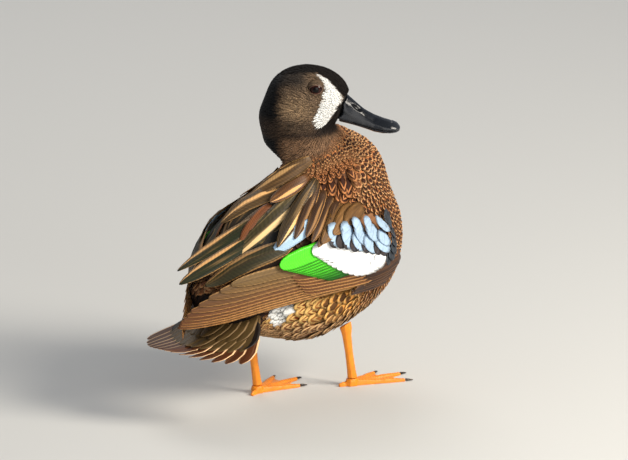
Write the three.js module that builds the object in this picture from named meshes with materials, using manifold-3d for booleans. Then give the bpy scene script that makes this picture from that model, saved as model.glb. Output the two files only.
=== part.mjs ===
// A life-size standing blue-winged teal drake, in millimetres: +X forward, +Y to the bird's left, +Z up.
// The trunk, neck and head are one smooth field of rounded forms, meshed by a surface net and parted by
// thin plane cuts. The folded wings are shells that hug the trunk, and the long feathers are thin blades
// laid over them.
import * as THREE from "three";
import { mergeVertices } from "three/addons/utils/BufferGeometryUtils.js";
import Module from "manifold-3d";

const wasm = await Module();
wasm.setup();

// ---------------------------------------------------------------- driving dimensions
const GAP = 0.3; // clearance between neighbouring solids
const WELD = 0.05; // edges shorter than this are closed up
const TRUNK_CELL = 8; // surface-net cell of the trunk, neck and wings
const HEAD_CELL = 4.6;
const HEAD_TURN = THREE.MathUtils.degToRad(-45); // the head looks to the bird's right
const HEAD_CENTRE = new THREE.Vector3(-17, -3, 195);
const EYE = { forward: 8.6, side: 11.9, up: 10.2, radius: 4.7 };
const WING_DEPTH = 7; // how far the wing shell stands off the trunk

const COLOURS = {
  slate: [0x6b5d50, 0.8],
  tawny: [0xb5794a, 0.85],
  brown: [0x5a4030, 0.85],
  dark: [0x2a2420, 0.85],
  bill: [0x1b2129, 0.35],
  orange: [0xe8901c, 0.5],
  eye: [0x1d0f0a, 0.1],
  blue: [0x9fb9cf, 0.7],
  claw: [0x3a2f22, 0.45],
};

// ---------------------------------------------------------------- fields: negative inside, in millimetres
const smoothMin = (a, b, k) => {
  const h = Math.max(k - Math.abs(a - b), 0) / k;
  return Math.min(a, b) - (h * h * k) / 4;
};

// An ellipsoid whose nose is pitched up by an angle in degrees, turned about Y.
function ellipsoid(centre, radii, pitch = 0) {
  const c = Math.cos(THREE.MathUtils.degToRad(pitch));
  const s = Math.sin(THREE.MathUtils.degToRad(pitch));
  return (x, y, z) => {
    const dx = x - centre[0];
    const dy = (y - centre[1]) / radii[1];
    const dz = z - centre[2];
    const u = (c * dx + s * dz) / radii[0];
    const w = (c * dz - s * dx) / radii[2];
    const k0 = Math.hypot(u, dy, w);
    const k1 = Math.hypot(u / radii[0], dy / radii[1], w / radii[2]);
    return k1 < 1e-9 ? -Math.min(...radii) : (k0 * (k0 - 1)) / k1;
  };
}

// A straight limb that tapers from one ball to another.
function roundCone(a, ra, b, rb) {
  const axis = [b[0] - a[0], b[1] - a[1], b[2] - a[2]];
  const length2 = axis[0] ** 2 + axis[1] ** 2 + axis[2] ** 2;
  return (x, y, z) => {
    const along = (x - a[0]) * axis[0] + (y - a[1]) * axis[1] + (z - a[2]) * axis[2];
    const t = THREE.MathUtils.clamp(along / length2, 0, 1);
    const gap = Math.hypot(x - a[0] - t * axis[0], y - a[1] - t * axis[1], z - a[2] - t * axis[2]);
    return gap - THREE.MathUtils.lerp(ra, rb, t);
  };
}

// Forms joined with a fillet of size k, first to last.
const blend = (k, ...forms) => (x, y, z) =>
  forms.slice(1).reduce((d, f) => smoothMin(d, f(x, y, z), k), forms[0](x, y, z));

const trunkField = blend(
  16,
  ellipsoid([20, 0, 91], [43, 38, 43], 8), // breast
  ellipsoid([-13, 0, 82], [57, 39, 48], 8), // belly and flanks
  ellipsoid([-28, 0, 102], [58, 34, 33], 14), // back under the scapulars
  ellipsoid([-34, 0, 112], [48, 23, 30], 14), // mantle
  roundCone([-58, 0, 88], 26, [-98, 0, 79], 11), // rump and tail coverts
  ellipsoid([-72, 0, 66], [36, 20, 16], -22), // vent and under-tail coverts
);

const neckField = blend(
  10,
  roundCone([25, 0, 112], 30, [25, 0, 136], 27), // crop
  roundCone([20, -1, 147], 20, [-14, 2, 165], 20.5), // neck drawn back over the shoulders
  roundCone([-14, 3, 165], 21, [-19, 3, 178], 20.5),
);

// The head's own frame: forward along the bill, side to the bird's left, up.
const headForward = new THREE.Vector3(Math.cos(HEAD_TURN), Math.sin(HEAD_TURN), 0);
const headSide = new THREE.Vector3(-Math.sin(HEAD_TURN), Math.cos(HEAD_TURN), 0);

const headForms = blend(
  6,
  ellipsoid([3, 0, 3], [26, 16.5, 20.3], 0), // cranium
  ellipsoid([-6, 0, -10], [22, 16.5, 18], 0), // nape and cheeks
  ellipsoid([14, 0, 1], [17, 11.5, 15.5], -35), // face
  ellipsoid([9, 0, -9], [14, 10, 8.5], 12), // chin
);
const inHeadFrame = (form) => (x, y, z) => {
  const dx = x - HEAD_CENTRE.x;
  const dy = y - HEAD_CENTRE.y;
  return form(
    dx * headForward.x + dy * headForward.y,
    dx * headSide.x + dy * headSide.y,
    z - HEAD_CENTRE.z,
  );
};
const headField = inHeadFrame(headForms);
const napeHollow = inHeadFrame(ellipsoid([-28, 4, -39], [18, 24, 7], -22)); // between nape and mantle

const uncutField = (x, y, z) => smoothMin(trunkField(x, y, z), neckField(x, y, z), 20);
const torsoField = (x, y, z) => -smoothMin(-uncutField(x, y, z), napeHollow(x, y, z), 5);
const bodyField = (x, y, z) => {
  const torso = torsoField(x, y, z);
  return z > 130 ? smoothMin(torso, headField(x, y, z), 6) : torso;
};

// What the folded wings lie against: the trunk, drawn out flat over the rump.
const foldField = blend(14, uncutField, ellipsoid([-86, 0, 84], [44, 18, 14], 14));

// ---------------------------------------------------------------- meshing
// A closed mesh of the zero surface of a field: one vertex a cell, settled on the surface, and one quad
// for each grid edge that crosses it.
function surfaceNet(field, low, high, cell) {
  const n = [0, 1, 2].map((i) => Math.ceil((high[i] - low[i]) / cell) + 1);
  const at = (i, j, k) => (k * n[1] + j) * n[0] + i;
  const values = new Float64Array(n[0] * n[1] * n[2]);
  for (let k = 0; k < n[2]; k++)
    for (let j = 0; j < n[1]; j++)
      for (let i = 0; i < n[0]; i++)
        values[at(i, j, k)] = onBorder([i, j, k], n)
          ? cell / 2 // so that a form that runs out of the box is closed there
          : field(low[0] + i * cell, low[1] + j * cell, low[2] + k * cell);

  const vertexOf = new Map();
  const positions = [];
  const corners = [0, 1, 2, 3, 4, 5, 6, 7].map((c) => [c & 1, (c >> 1) & 1, (c >> 2) & 1]);
  const edges = [];
  for (let a = 0; a < 8; a++) for (const bit of [1, 2, 4]) if (!(a & bit)) edges.push([a, a | bit]);
  for (let k = 0; k < n[2] - 1; k++)
    for (let j = 0; j < n[1] - 1; j++)
      for (let i = 0; i < n[0] - 1; i++) {
        const v = corners.map(([a, b, c]) => values[at(i + a, j + b, k + c)]);
        let count = 0;
        const sum = [0, 0, 0];
        for (const [a, b] of edges) {
          if (v[a] < 0 === v[b] < 0) continue;
          const t = v[a] / (v[a] - v[b]);
          for (let d = 0; d < 3; d++) sum[d] += corners[a][d] + t * (corners[b][d] - corners[a][d]);
          count++;
        }
        if (!count) continue;
        const p = [i, j, k].map((c, d) => low[d] + (c + sum[d] / count) * cell);
        vertexOf.set(at(i, j, k), positions.length / 3);
        positions.push(...settle(field, p, cell));
      }

  const indices = [];
  const step = [1, n[0], n[0] * n[1]];
  for (let k = 0; k < n[2] - 1; k++)
    for (let j = 0; j < n[1] - 1; j++)
      for (let i = 0; i < n[0] - 1; i++)
        for (let d = 0; d < 3; d++) {
          const index = [i, j, k];
          if (index[(d + 1) % 3] === 0 || index[(d + 2) % 3] === 0) continue;
          const here = at(i, j, k);
          const inside = values[here] < 0;
          if (inside === values[here + step[d]] < 0) continue;
          const [e, f] = [step[(d + 1) % 3], step[(d + 2) % 3]];
          const q = [here - e - f, here - f, here, here - e].map((c) => vertexOf.get(c));
          if (!inside) q.reverse();
          indices.push(q[0], q[1], q[2], q[0], q[2], q[3]);
        }
  const geometry = new THREE.BufferGeometry();
  geometry.setAttribute("position", new THREE.Float32BufferAttribute(positions, 3));
  geometry.setIndex(indices);
  return geometry;
}

const onBorder = (index, n) => index.some((c, d) => c === 0 || c === n[d] - 1);

// Moves a point to the field's zero surface by two Newton steps, no further than half a cell.
function settle(field, p, cell) {
  const h = 0.05;
  for (let pass = 0; pass < 2; pass++) {
    const d = field(...p);
    const g = [0, 1, 2].map((i) => {
      const q = [...p];
      q[i] += h;
      return (field(...q) - d) / h;
    });
    const g2 = g[0] ** 2 + g[1] ** 2 + g[2] ** 2;
    const step = THREE.MathUtils.clamp(d, -cell / 2, cell / 2);
    p = p.map((c, i) => c - (step * g[i]) / g2);
  }
  return p;
}

// ---------------------------------------------------------------- solids
function solidOf(geometry) {
  const bare = new THREE.BufferGeometry();
  bare.setAttribute("position", geometry.getAttribute("position"));
  if (geometry.index) bare.setIndex(geometry.index);
  const merged = mergeVertices(bare, 1e-4);
  return new wasm.Manifold(
    new wasm.Mesh({
      numProp: 3,
      vertProperties: merged.getAttribute("position").array,
      triVerts: new Uint32Array(merged.index.array),
    }),
  );
}

// The solid's mesh, with the edges shorter than the weld collapsed.
function geometryOf(solid) {
  const mesh = solid.getMesh();
  const corner = (i) => new THREE.Vector3().fromArray(mesh.vertProperties, i * mesh.numProp);
  const joined = Array.from({ length: mesh.numVert }, (_, i) => i);
  const root = (i) => (joined[i] === i ? i : root(joined[i]));
  for (let i = 0; i < mesh.triVerts.length; i++) {
    const next = i % 3 === 2 ? i - 2 : i + 1;
    const [a, b] = [mesh.triVerts[i], mesh.triVerts[next]];
    if (corner(a).distanceTo(corner(b)) >= WELD) continue;
    joined[Math.max(root(a), root(b))] = Math.min(root(a), root(b));
  }
  const kept = [];
  for (let i = 0; i < mesh.triVerts.length; i += 3) {
    const [a, b, c] = [0, 1, 2].map((k) => root(mesh.triVerts[i + k]));
    if (a !== b && b !== c && c !== a) kept.push(a, b, c);
  }
  const geometry = new THREE.BufferGeometry();
  const positions = Array.from({ length: mesh.numVert }, (_, i) => corner(i).toArray()).flat();
  geometry.setAttribute("position", new THREE.Float32BufferAttribute(positions, 3));
  geometry.setIndex(kept);
  geometry.computeVertexNormals();
  return geometry;
}

const largest = (solid) => solid.decompose().reduce((a, b) => (a.volume() > b.volume() ? a : b));

// The side of a plane that its normal points to, as a very large box.
function halfSpace(point, normal, clearance = GAP / 2) {
  const size = 900;
  const box = new THREE.BoxGeometry(size, size, size);
  const outward = normal.clone().normalize();
  const turn = new THREE.Quaternion().setFromUnitVectors(new THREE.Vector3(0, 0, 1), outward);
  const middle = point.clone().addScaledVector(outward, size / 2 + clearance);
  box.applyMatrix4(new THREE.Matrix4().compose(middle, turn, new THREE.Vector3(1, 1, 1)));
  return solidOf(box);
}

// A closed solid from rings of equal point count, with flat ends.
function loft(rings) {
  const m = rings[0].length;
  const positions = rings.flat().flatMap((p) => [p.x, p.y, p.z]);
  const indices = [];
  for (let i = 0; i < rings.length - 1; i++)
    for (let j = 0; j < m; j++) {
      const a = i * m + j;
      const b = i * m + ((j + 1) % m);
      indices.push(a, b, b + m, a, b + m, a + m);
    }
  for (const [ring, flip] of [[0, true], [rings.length - 1, false]]) {
    const centre = rings[ring].reduce((s, p) => s.add(p), new THREE.Vector3()).divideScalar(m);
    const c = positions.length / 3;
    positions.push(centre.x, centre.y, centre.z);
    for (let j = 0; j < m; j++) {
      const a = ring * m + j;
      const b = ring * m + ((j + 1) % m);
      indices.push(...(flip ? [c, b, a] : [c, a, b]));
    }
  }
  const geometry = new THREE.BufferGeometry();
  geometry.setAttribute("position", new THREE.Float32BufferAttribute(positions, 3));
  geometry.setIndex(indices);
  const solid = solidOf(geometry);
  if (solid.volume() > 0) return solid;
  for (let i = 0; i < indices.length; i += 3) [indices[i], indices[i + 1]] = [indices[i + 1], indices[i]];
  geometry.setIndex(indices);
  return solidOf(geometry);
}

// ---------------------------------------------------------------- placing helpers
const V = (x, y, z) => new THREE.Vector3(x, y, z);
const SIDES = [
  ["right", -1],
  ["left", 1],
];
const mirrored = (solid, side) => (side < 0 ? solid : solid.mirror([0, 1, 0]));

// A prism over an outline drawn in the plane of two axes, between two depths along their cross product.
function prism(outline, across, upward, near, far) {
  const shape = new THREE.Shape(outline.map(([u, v]) => new THREE.Vector2(u, v)));
  const geometry = new THREE.ExtrudeGeometry(shape, { depth: far - near, bevelEnabled: false });
  const along = across.clone().cross(upward);
  const basis = new THREE.Matrix4().makeBasis(across, upward, along);
  basis.setPosition(along.multiplyScalar(near));
  return solidOf(geometry.applyMatrix4(basis));
}

const group = new THREE.Group();
function addNode(name, solid, colour) {
  const [hex, roughness] = COLOURS[colour];
  const material = new THREE.MeshStandardMaterial({ color: hex, roughness, metalness: 0 });
  const mesh = new THREE.Mesh(geometryOf(largest(solid)), material);
  mesh.name = name;
  group.add(mesh);
}

// ---------------------------------------------------------------- eyes and bill, in the head's frame
const skull = new THREE.Matrix4().makeBasis(headForward, headSide, V(0, 0, 1)).setPosition(HEAD_CENTRE);
function ball(radius, at, detail) {
  const sphere = new THREE.SphereGeometry(radius, detail, Math.round(detail * 0.7));
  return solidOf(sphere.translate(...at).applyMatrix4(skull));
}
const eyeAt = (side) => [EYE.forward, side * EYE.side, EYE.up];

// Stations along the bill: forward, and the heights of the ridge, gape and keel, then the half width.
const BILL = [
  [18, 7, -9, -12, 8],
  [24, 5, -11.5, -14.4, 7.6],
  [29, 2.6, -13, -15.6, 7.4],
  [34, -1.6, -14.6, -17, 7.1],
  [40, -6.6, -16.4, -19, 7],
  [46, -10, -18.2, -21.2, 7.4],
  [52, -12.6, -19.2, -22.3, 8.1],
  [57, -14.2, -19.6, -22.3, 8],
  [60.5, -15.8, -19.8, -21.8, 6.4],
  [62.4, -18, -19.8, -21, 2.6],
];
function billHalf(upper) {
  const arc = upper ? [0, 18, 40, 65, 90, 115, 140, 162, 180] : [0, 25, 60, 120, 155, 180];
  const rings = BILL.map(([forward, ridge, gape, keel, half]) => {
    const base = upper ? gape + GAP / 2 : gape - GAP / 2;
    const height = (upper ? ridge : keel) - base;
    const width = upper ? half : half - 0.8;
    return arc.map((degrees) => {
      const angle = THREE.MathUtils.degToRad(degrees);
      const rise = base + height * Math.sin(angle) ** 0.9;
      return V(forward, width * Math.cos(angle), rise).applyMatrix4(skull);
    });
  });
  return loft(rings);
}

// ---------------------------------------------------------------- the flesh, parted
const LOW = [-160, -68, 20];
const HIGH = [88, 68, 196];
const torso = solidOf(surfaceNet(torsoField, LOW, HIGH, TRUNK_CELL));
const torsoSkin = solidOf(surfaceNet((x, y, z) => torsoField(x, y, z) - GAP, LOW, HIGH, TRUNK_CELL));
const headNet = (field, floor) => solidOf(surfaceNet(field, [-70, -60, floor], [60, 50, 230], HEAD_CELL));
const headHigh = headNet(bodyField, 118);
const headSkin = headNet((x, y, z) => bodyField(x, y, z) - GAP, 130);

const throat = [V(-6, -2, 166), V(0.2, -0.12, 1)]; // between head and neck
const crop = [V(12, 0, 138), V(0.25, 0, 1)]; // between neck and trunk
const shoulder = [V(4, 0, 90), V(1, 0, -0.12)]; // between breast and the rest
const waist = [V(-40, 0, 88), V(0.1, 0, 1)]; // between back and belly
const loin = [V(-72, 0, 90), V(-1, 0, 0.1)]; // between trunk and tail coverts
const above = ([point, normal]) => halfSpace(point, normal);
const below = ([point, normal]) => halfSpace(point, normal.clone().negate());

const sockets = [-1, 1].map((side) => ball(EYE.radius + 0.5, eyeAt(side), 12));
const head = headHigh.intersect(above(throat)).subtract(sockets[0]).subtract(sockets[1]);
addNode("head", head, "slate");
for (const [name, side] of SIDES) addNode(`eye_${name}`, ball(EYE.radius, eyeAt(side), 12), "eye");
addNode("bill_upper", billHalf(true).subtract(headSkin), "bill");
addNode("bill_lower", billHalf(false).subtract(headSkin), "bill");

const trunk = torso.intersect(below(crop));
const middle = trunk.intersect(below(shoulder)).intersect(below(loin));
const coverts = trunk.intersect(above(loin));
addNode("neck", headHigh.intersect(above(crop)).intersect(below(throat)), "slate");
addNode("breast", trunk.intersect(above(shoulder)), "tawny");
addNode("back", middle.intersect(above(waist)), "brown");
addNode("belly", middle.intersect(below(waist)), "tawny");
addNode("rump", coverts.intersect(halfSpace(V(-90, 0, 76), V(-0.25, 0, 1))), "brown");
addNode("vent", coverts.intersect(halfSpace(V(-90, 0, 76), V(0.25, 0, -1))), "dark");

// ---------------------------------------------------------------- wings and long feathers
// The covering thins toward the nape, the wrist, the middle of the back and the wing tips.
const nape = [V(-24, 0, 152), V(0.49, 0, 0.87)];
const ramp = (value, from, to) => THREE.MathUtils.clamp((value - from) / (to - from), 0, 1);
function standOff(x, y, z) {
  const belowNape = -(nape[1].x * (x - nape[0].x) + nape[1].z * (z - nape[0].z));
  const sideways = Math.max(ramp(Math.abs(y), 8, 27), ramp(x, -70, -95));
  const front = Math.min(ramp(belowNape, -4, 20), ramp(x, 38, 22), sideways);
  return THREE.MathUtils.lerp(1.2, THREE.MathUtils.lerp(WING_DEPTH, 2.2, ramp(x, -60, -150)), front);
}

// Two ways of drawing on the right side: square from the side, and slanting down on it from above.
const SIDE_VIEW = { up: V(0, 0, 1), out: V(0, -1, 0) };
const SLANT_VIEW = { up: V(0, 1, 1).normalize(), out: V(0, -1, 1).normalize() };

// The point at (x, u) in a view where the folded wings' bed lies a given depth below.
function drapePoint(view, x, u, depth) {
  const at = (t) => V(x, 0, 0).addScaledVector(view.up, u).addScaledVector(view.out, t);
  const height = (t) => foldField(...at(t).toArray()) - depth(...at(t).toArray());
  let closest = 0;
  for (let t = 110; t > -60; t -= 1) {
    if (height(t) < 0) return at(t + height(t) / (height(t) - height(t + 1)));
    if (height(t) < height(closest)) closest = t;
  }
  return at(closest);
}

// A sheet laid over the bed: rows of (x, u) points from edge to edge, thickest along the middle.
function drape(view, rows, clearance, thickness) {
  const rings = rows.map((row) => {
    const lower = row.map(([x, u]) => drapePoint(view, x, u, clearance));
    const upper = row.map(([x, u], j) => {
      const t = (2 * j) / (row.length - 1) - 1;
      return drapePoint(view, x, u, (...p) => clearance(...p) + thickness(...p) * (1 - 0.6 * t * t));
    });
    return [...lower, ...upper.reverse()];
  });
  return loft(rings);
}
const spread = (from, to, count) =>
  Array.from({ length: count }, (_, i) => THREE.MathUtils.lerp(from, to, i / (count - 1)));

// Lower and upper edge of the folded wing, and of the primaries below it, at stations along X.
const WING_EDGES = [
  [31, 85, 91],
  [26, 79, 101],
  [19, 74.8, 110],
  [10, 73, 118],
  [0, 76.5, 123],
  [-12, 78.8, 126],
  [-24, 80, 127],
  [-36, 81, 127],
  [-48, 82, 125.5],
  [-60, 83.2, 121],
  [-72, 86.5, 114],
  [-84, 89.1, 105],
  [-94, 90, 97],
];
const PRIMARY_EDGES = [
  [10, 70.6, 72.2],
  [0, 69.8, 75.9],
  [-12, 69.8, 78.2],
  [-24, 70.2, 79.4],
  [-36, 70.8, 80.4],
  [-48, 71.5, 81.4],
  [-60, 72, 82.6],
  [-72, 72, 85.9],
  [-84, 71.4, 88.5],
  [-96, 70.3, 86.5],
  [-107, 69, 83],
  [-117, 67.8, 78.5],
  [-126, 66.8, 73],
  [-133, 66, 68],
];
const edgeRows = (edges, count) =>
  edges.map(([x, low, high]) => spread(low, high, count).map((u) => [x, u]));
const bed = () => 0.5;
const shell = (x, y, z) => standOff(x, y, z) - bed();
const wingShell = drape(SIDE_VIEW, edgeRows(WING_EDGES, 7), bed, shell);
const primaryShell = drape(SIDE_VIEW, edgeRows(PRIMARY_EDGES, 4), bed, (...p) => 0.75 * shell(...p));

// Roots and tips in the slanting view, half widths, and lift off the wing: the tertials lie on the wing
// and the scapulars on the tertials.
const LONG_FEATHERS = [
  ["scapular_1", [-38, 88], [-88, 74], 6.5, 3.4],
  ["scapular_2", [0, 74], [-80, 61], 7.5, 3.4],
  ["scapular_3", [8, 59], [-52, 46], 7, 3.4],
  ["tertial_1", [-46, 80], [-122, 62], 7.5, 0.7],
  ["tertial_2", [-40, 65], [-108, 49], 6, 0.7],
  ["tertial_3", [-36, 52.5], [-94, 39], 5.5, 0.7],
];
// The share of the full width at shares of the length.
const LANCE = [
  [0, 0.5],
  [0.12, 0.8],
  [0.25, 0.96],
  [0.38, 1],
  [0.5, 1],
  [0.62, 0.95],
  [0.74, 0.82],
  [0.85, 0.6],
  [0.94, 0.33],
  [1, 0.08],
];
function longFeather(root, tip, halfWidth, lift) {
  const from = new THREE.Vector2(...root);
  const axis = new THREE.Vector2(...tip).sub(from);
  const across = new THREE.Vector2(-axis.y, axis.x).normalize();
  const rows = LANCE.map(([t, width]) =>
    spread(-1, 1, 4).map((side) => {
      const point = from.clone().addScaledVector(axis, t).addScaledVector(across, side * width * halfWidth);
      return [point.x, point.y];
    }),
  );
  return drape(SLANT_VIEW, rows, (...p) => standOff(...p) + lift, () => 2.2);
}

// ---------------------------------------------------------------- tail
// A drooping fan, scalloped once for each feather and rolled a little toward the bird's left.
const TAIL = {
  root: V(-84, 0, 75),
  feathers: 14,
  spread: 122, // degrees from the outermost feather to its opposite
  middle: 52, // reach of the middle feathers, seen from above
  edge: 49,
  thickness: 1.6,
  fall: 0.62, // drop for each millimetre of reach
  roll: 0.14,
};
function tailFan() {
  const steps = 4;
  const outline = [[22, -12], [22, 12]];
  for (let i = 0; i <= TAIL.feathers * steps; i++) {
    const t = i / (TAIL.feathers * steps);
    const angle = THREE.MathUtils.degToRad((0.5 - t) * TAIL.spread);
    const notch = 1 - 0.08 * (2 * ((i / steps) % 1) - 1) ** 2;
    const reach = THREE.MathUtils.lerp(TAIL.middle, TAIL.edge, Math.abs(2 * t - 1) ** 1.6) * notch;
    outline.push([-Math.cos(angle) * reach, Math.sin(angle) * reach + 10 * (1 - 2 * t)]);
  }
  const shape = new THREE.Shape(outline.map(([x, y]) => new THREE.Vector2(x, y)));
  const geometry = new THREE.ExtrudeGeometry(shape, { depth: TAIL.thickness, bevelEnabled: false });
  const positions = geometry.getAttribute("position");
  for (let i = 0; i < positions.count; i++) {
    const [x, y] = [positions.getX(i), positions.getY(i)];
    const reach = Math.hypot(Math.max(0, -x), y);
    positions.setZ(i, positions.getZ(i) - TAIL.fall * reach - (TAIL.roll * y * reach) / TAIL.middle);
  }
  return solidOf(geometry.translate(TAIL.root.x, TAIL.root.y, TAIL.root.z));
}
addNode("tail", tailFan().subtract(torsoSkin), "brown");

// ---------------------------------------------------------------- legs
// A limb from stations [centre x, y, z, half length, half width], each an upright ellipse of eight points.
function limb(stations) {
  return loft(
    stations.map(([x, y, z, half, width]) =>
      [0, 1, 2, 3, 4, 5, 6, 7].map((i) => {
        const angle = (i * Math.PI) / 4;
        return V(x + half * Math.cos(angle), y + width * Math.sin(angle), z);
      }),
    ),
  );
}
// A toe from stations [reach, half width, height] along a direction, its sole at a given height.
function toe(stations, degrees, sole = 0) {
  const direction = V(1, 0, 0).applyAxisAngle(V(0, 0, 1), THREE.MathUtils.degToRad(degrees));
  const across = V(-direction.y, direction.x, 0);
  return loft(
    stations.map(([reach, half, height]) =>
      [[-1, 0], [-0.8, 0.75], [0, 1], [0.8, 0.75], [1, 0]].map(([u, w]) =>
        direction.clone().multiplyScalar(reach).addScaledVector(across, u * half).setZ(sole + w * height),
      ),
    ),
  );
}
const TOES = [
  ["outer", -26, 35],
  ["middle", -2, 39],
  ["inner", 23, 30],
];

// The right foot about the base of its tarsus, pointing along +X.
function footSolid() {
  const toes = TOES.map(([, degrees, length]) => {
    const knuckle = length * 0.5;
    const joints = [[-3, 3, 4.6], [8, 2.5, 4], [knuckle, 1.9, 3], [knuckle + 3, 2.1, 3.2], [length - 1, 1.3, 2]];
    return toe(joints, degrees);
  });
  const tips = TOES.map(([, degrees, length]) => {
    const angle = THREE.MathUtils.degToRad(degrees);
    return [(length - 4) * Math.cos(angle), (length - 4) * Math.sin(angle)];
  });
  const bay = (a, b) => [0.43 * (a[0] + b[0]), 0.43 * (a[1] + b[1])];
  const outline = [[-2, 0], tips[0], bay(tips[0], tips[1]), tips[1], bay(tips[1], tips[2]), tips[2]];
  const web = prism(outline, V(1, 0, 0), V(0, 1, 0), 0, 1.1);
  const heel = limb([[-2.5, 0, 0, 4, 3.4], [-2.2, 0, 3, 4.4, 3.8], [-1.4, 0, 6.5, 3.6, 3.3]]);
  const hallux = toe([[2, 1.8, 3.4], [8, 1.4, 3], [11, 0.9, 2.2]], 166);
  return [...toes, heel, hallux].reduce((solid, part) => solid.add(part), web);
}
const clawSolid = (length, degrees) =>
  toe([[length - 0.7, 1, 1.6], [length + 2, 0.7, 1.2], [length + 4.5, 0.25, 0.5]], degrees, 0.4);

const LEGS = [
  { name: "right", side: -1, ankle: V(9.6, -15.5, 41.5), sole: V(17.7, -15.5, 0), turn: -4 },
  { name: "left", side: 1, ankle: V(-46, 15.5, 39), sole: V(-38, 15.5, 0), turn: 4 },
];
const floorPlane = (height, up) => halfSpace(V(0, 0, height), V(0, 0, up));
for (const { name, side, ankle, sole, turn } of LEGS) {
  const place = (solid) => mirrored(solid, side).rotate([0, 0, turn]).translate([sole.x, sole.y, 0]);
  const ring = (t, half, width) => {
    const p = sole.clone().setZ(3).lerp(ankle, t);
    return [p.x - (1 - t) * 1.4, p.y, p.z, half, width];
  };
  const shank = limb([
    ring(0, 3.6, 3.3),
    ring(0.18, 3.1, 2.7),
    ring(0.5, 2.9, 2.3),
    ring(0.82, 3.4, 2.8),
    ring(0.95, 4.4, 3.6),
    ring(1.15, 4.2, 3.6),
  ]);
  addNode(`tarsus_${name}`, shank.intersect(floorPlane(5, 1)).subtract(torsoSkin), "orange");
  addNode(`foot_${name}`, place(footSolid()).intersect(floorPlane(5, -1)), "orange");
  for (const [digit, degrees, length] of TOES)
    addNode(`claw_${name}_${digit}`, place(clawSolid(length, degrees)), "claw");
}

for (const [name, side] of SIDES) {
  addNode(`wing_${name}`, mirrored(wingShell, side), "blue");
  addNode(`primaries_${name}`, mirrored(primaryShell, side), "brown");
  for (const [feather, root, tip, halfWidth, lift] of LONG_FEATHERS) {
    const blade = longFeather(root, tip, halfWidth, lift).intersect(halfSpace(V(0, 0, 0), V(0, -1, 0)));
    addNode(`${feather}_${name}`, mirrored(blade, side), feather.startsWith("tertial") ? "dark" : "brown");
  }
}

// The origin is the middle of the overall footprint, on the floor.
const overall = new THREE.Box3().setFromObject(group);
const centre = overall.getCenter(V(0, 0, 0));
for (const mesh of group.children) mesh.geometry.translate(-centre.x, -centre.y, -overall.min.z);

export default group;
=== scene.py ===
# A standing blue-winged teal drake: one feathered skin over the frame's flesh, with the long feathers
# of wings, back and tail, and the bill, eyes, legs and claws as separate pieces.
# Shapes are worked out in millimetres in the bird's own frame: +X forward, +Y to its left, +Z up.
import heapq
import math

import bpy
import numpy as np
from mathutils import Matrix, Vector
from mathutils.bvhtree import BVHTree


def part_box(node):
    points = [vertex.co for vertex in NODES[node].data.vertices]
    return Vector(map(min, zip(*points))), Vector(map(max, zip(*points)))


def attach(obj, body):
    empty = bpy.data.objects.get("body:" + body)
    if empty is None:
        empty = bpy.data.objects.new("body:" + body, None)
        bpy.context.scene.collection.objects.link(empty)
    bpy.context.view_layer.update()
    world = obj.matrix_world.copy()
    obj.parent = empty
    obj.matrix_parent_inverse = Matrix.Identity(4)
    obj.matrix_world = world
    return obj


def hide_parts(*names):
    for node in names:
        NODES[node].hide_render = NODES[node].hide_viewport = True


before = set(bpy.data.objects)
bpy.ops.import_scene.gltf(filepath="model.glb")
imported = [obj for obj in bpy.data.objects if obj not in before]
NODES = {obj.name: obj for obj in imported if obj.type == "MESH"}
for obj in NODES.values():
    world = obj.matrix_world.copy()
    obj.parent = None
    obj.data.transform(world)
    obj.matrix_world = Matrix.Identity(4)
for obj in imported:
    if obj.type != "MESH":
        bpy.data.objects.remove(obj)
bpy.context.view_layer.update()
MM = 0.001
RNG = np.random.default_rng(11)

# ---- the bird's frame and the head's
HEAD_TURN = math.radians(-45)
HEAD_FORWARD = np.array([math.cos(HEAD_TURN), math.sin(HEAD_TURN), 0.0])
HEAD_SIDE = np.array([-math.sin(HEAD_TURN), math.cos(HEAD_TURN), 0.0])
UP = np.array([0.0, 0.0, 1.0])
HEAD_CENTRE = np.array([-17.0, -3.0, 195.0])
EYE_PLACE = np.array([8.6, 11.9, 10.2])  # forward, to the side and up from the head's centre
EYE_RADIUS = 4.7


def centre_of(node):
    low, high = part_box(node)
    return np.array((low + high) / 2)


BETWEEN_EYES = HEAD_CENTRE + EYE_PLACE[0] * HEAD_FORWARD + EYE_PLACE[2] * UP
SHIFT = (centre_of("eye_right") + centre_of("eye_left")) / 2 / MM - BETWEEN_EYES


def to_row(points):
    return (np.asarray(points) + SHIFT) * MM


def to_bird(points):
    return np.asarray(points) / MM - SHIFT


def head_frame(points):
    """Forward, to the left and up from the head's centre."""
    d = np.asarray(points) - HEAD_CENTRE
    return np.stack([d @ HEAD_FORWARD, d @ HEAD_SIDE, d @ UP], -1)


def from_head(points):
    p = np.asarray(points, float)
    return HEAD_CENTRE + p[..., :1] * HEAD_FORWARD + p[..., 1:2] * HEAD_SIDE + p[..., 2:] * UP


def unit(v):
    return v / np.maximum(np.linalg.norm(v, axis=-1, keepdims=True), 1e-9)


def ramp(x, low, high):
    """0 below low, 1 above high, smooth between them; low may be the larger."""
    t = np.clip((np.asarray(x, float) - low) / (high - low), 0, 1)
    return t * t * (3 - 2 * t)


def mix(a, b, t):
    t = np.asarray(t)
    if any(np.shape(x)[-1:] == (3,) and np.shape(x) != t.shape for x in (a, b)):
        t = t[..., None]
    return np.asarray(a) * (1 - t) + np.asarray(b) * t


def srgb(r, g, b):
    """A linear colour from 0-255 sRGB values."""
    c = np.array([r, g, b]) / 255
    return np.where(c <= 0.04045, c / 12.92, ((c + 0.055) / 1.055) ** 2.4)


# ---- meshes
def mesh_arrays(mesh):
    co = np.empty(len(mesh.vertices) * 3, np.float32)
    mesh.vertices.foreach_get("co", co)
    return co.reshape(-1, 3).astype(float)


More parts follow.
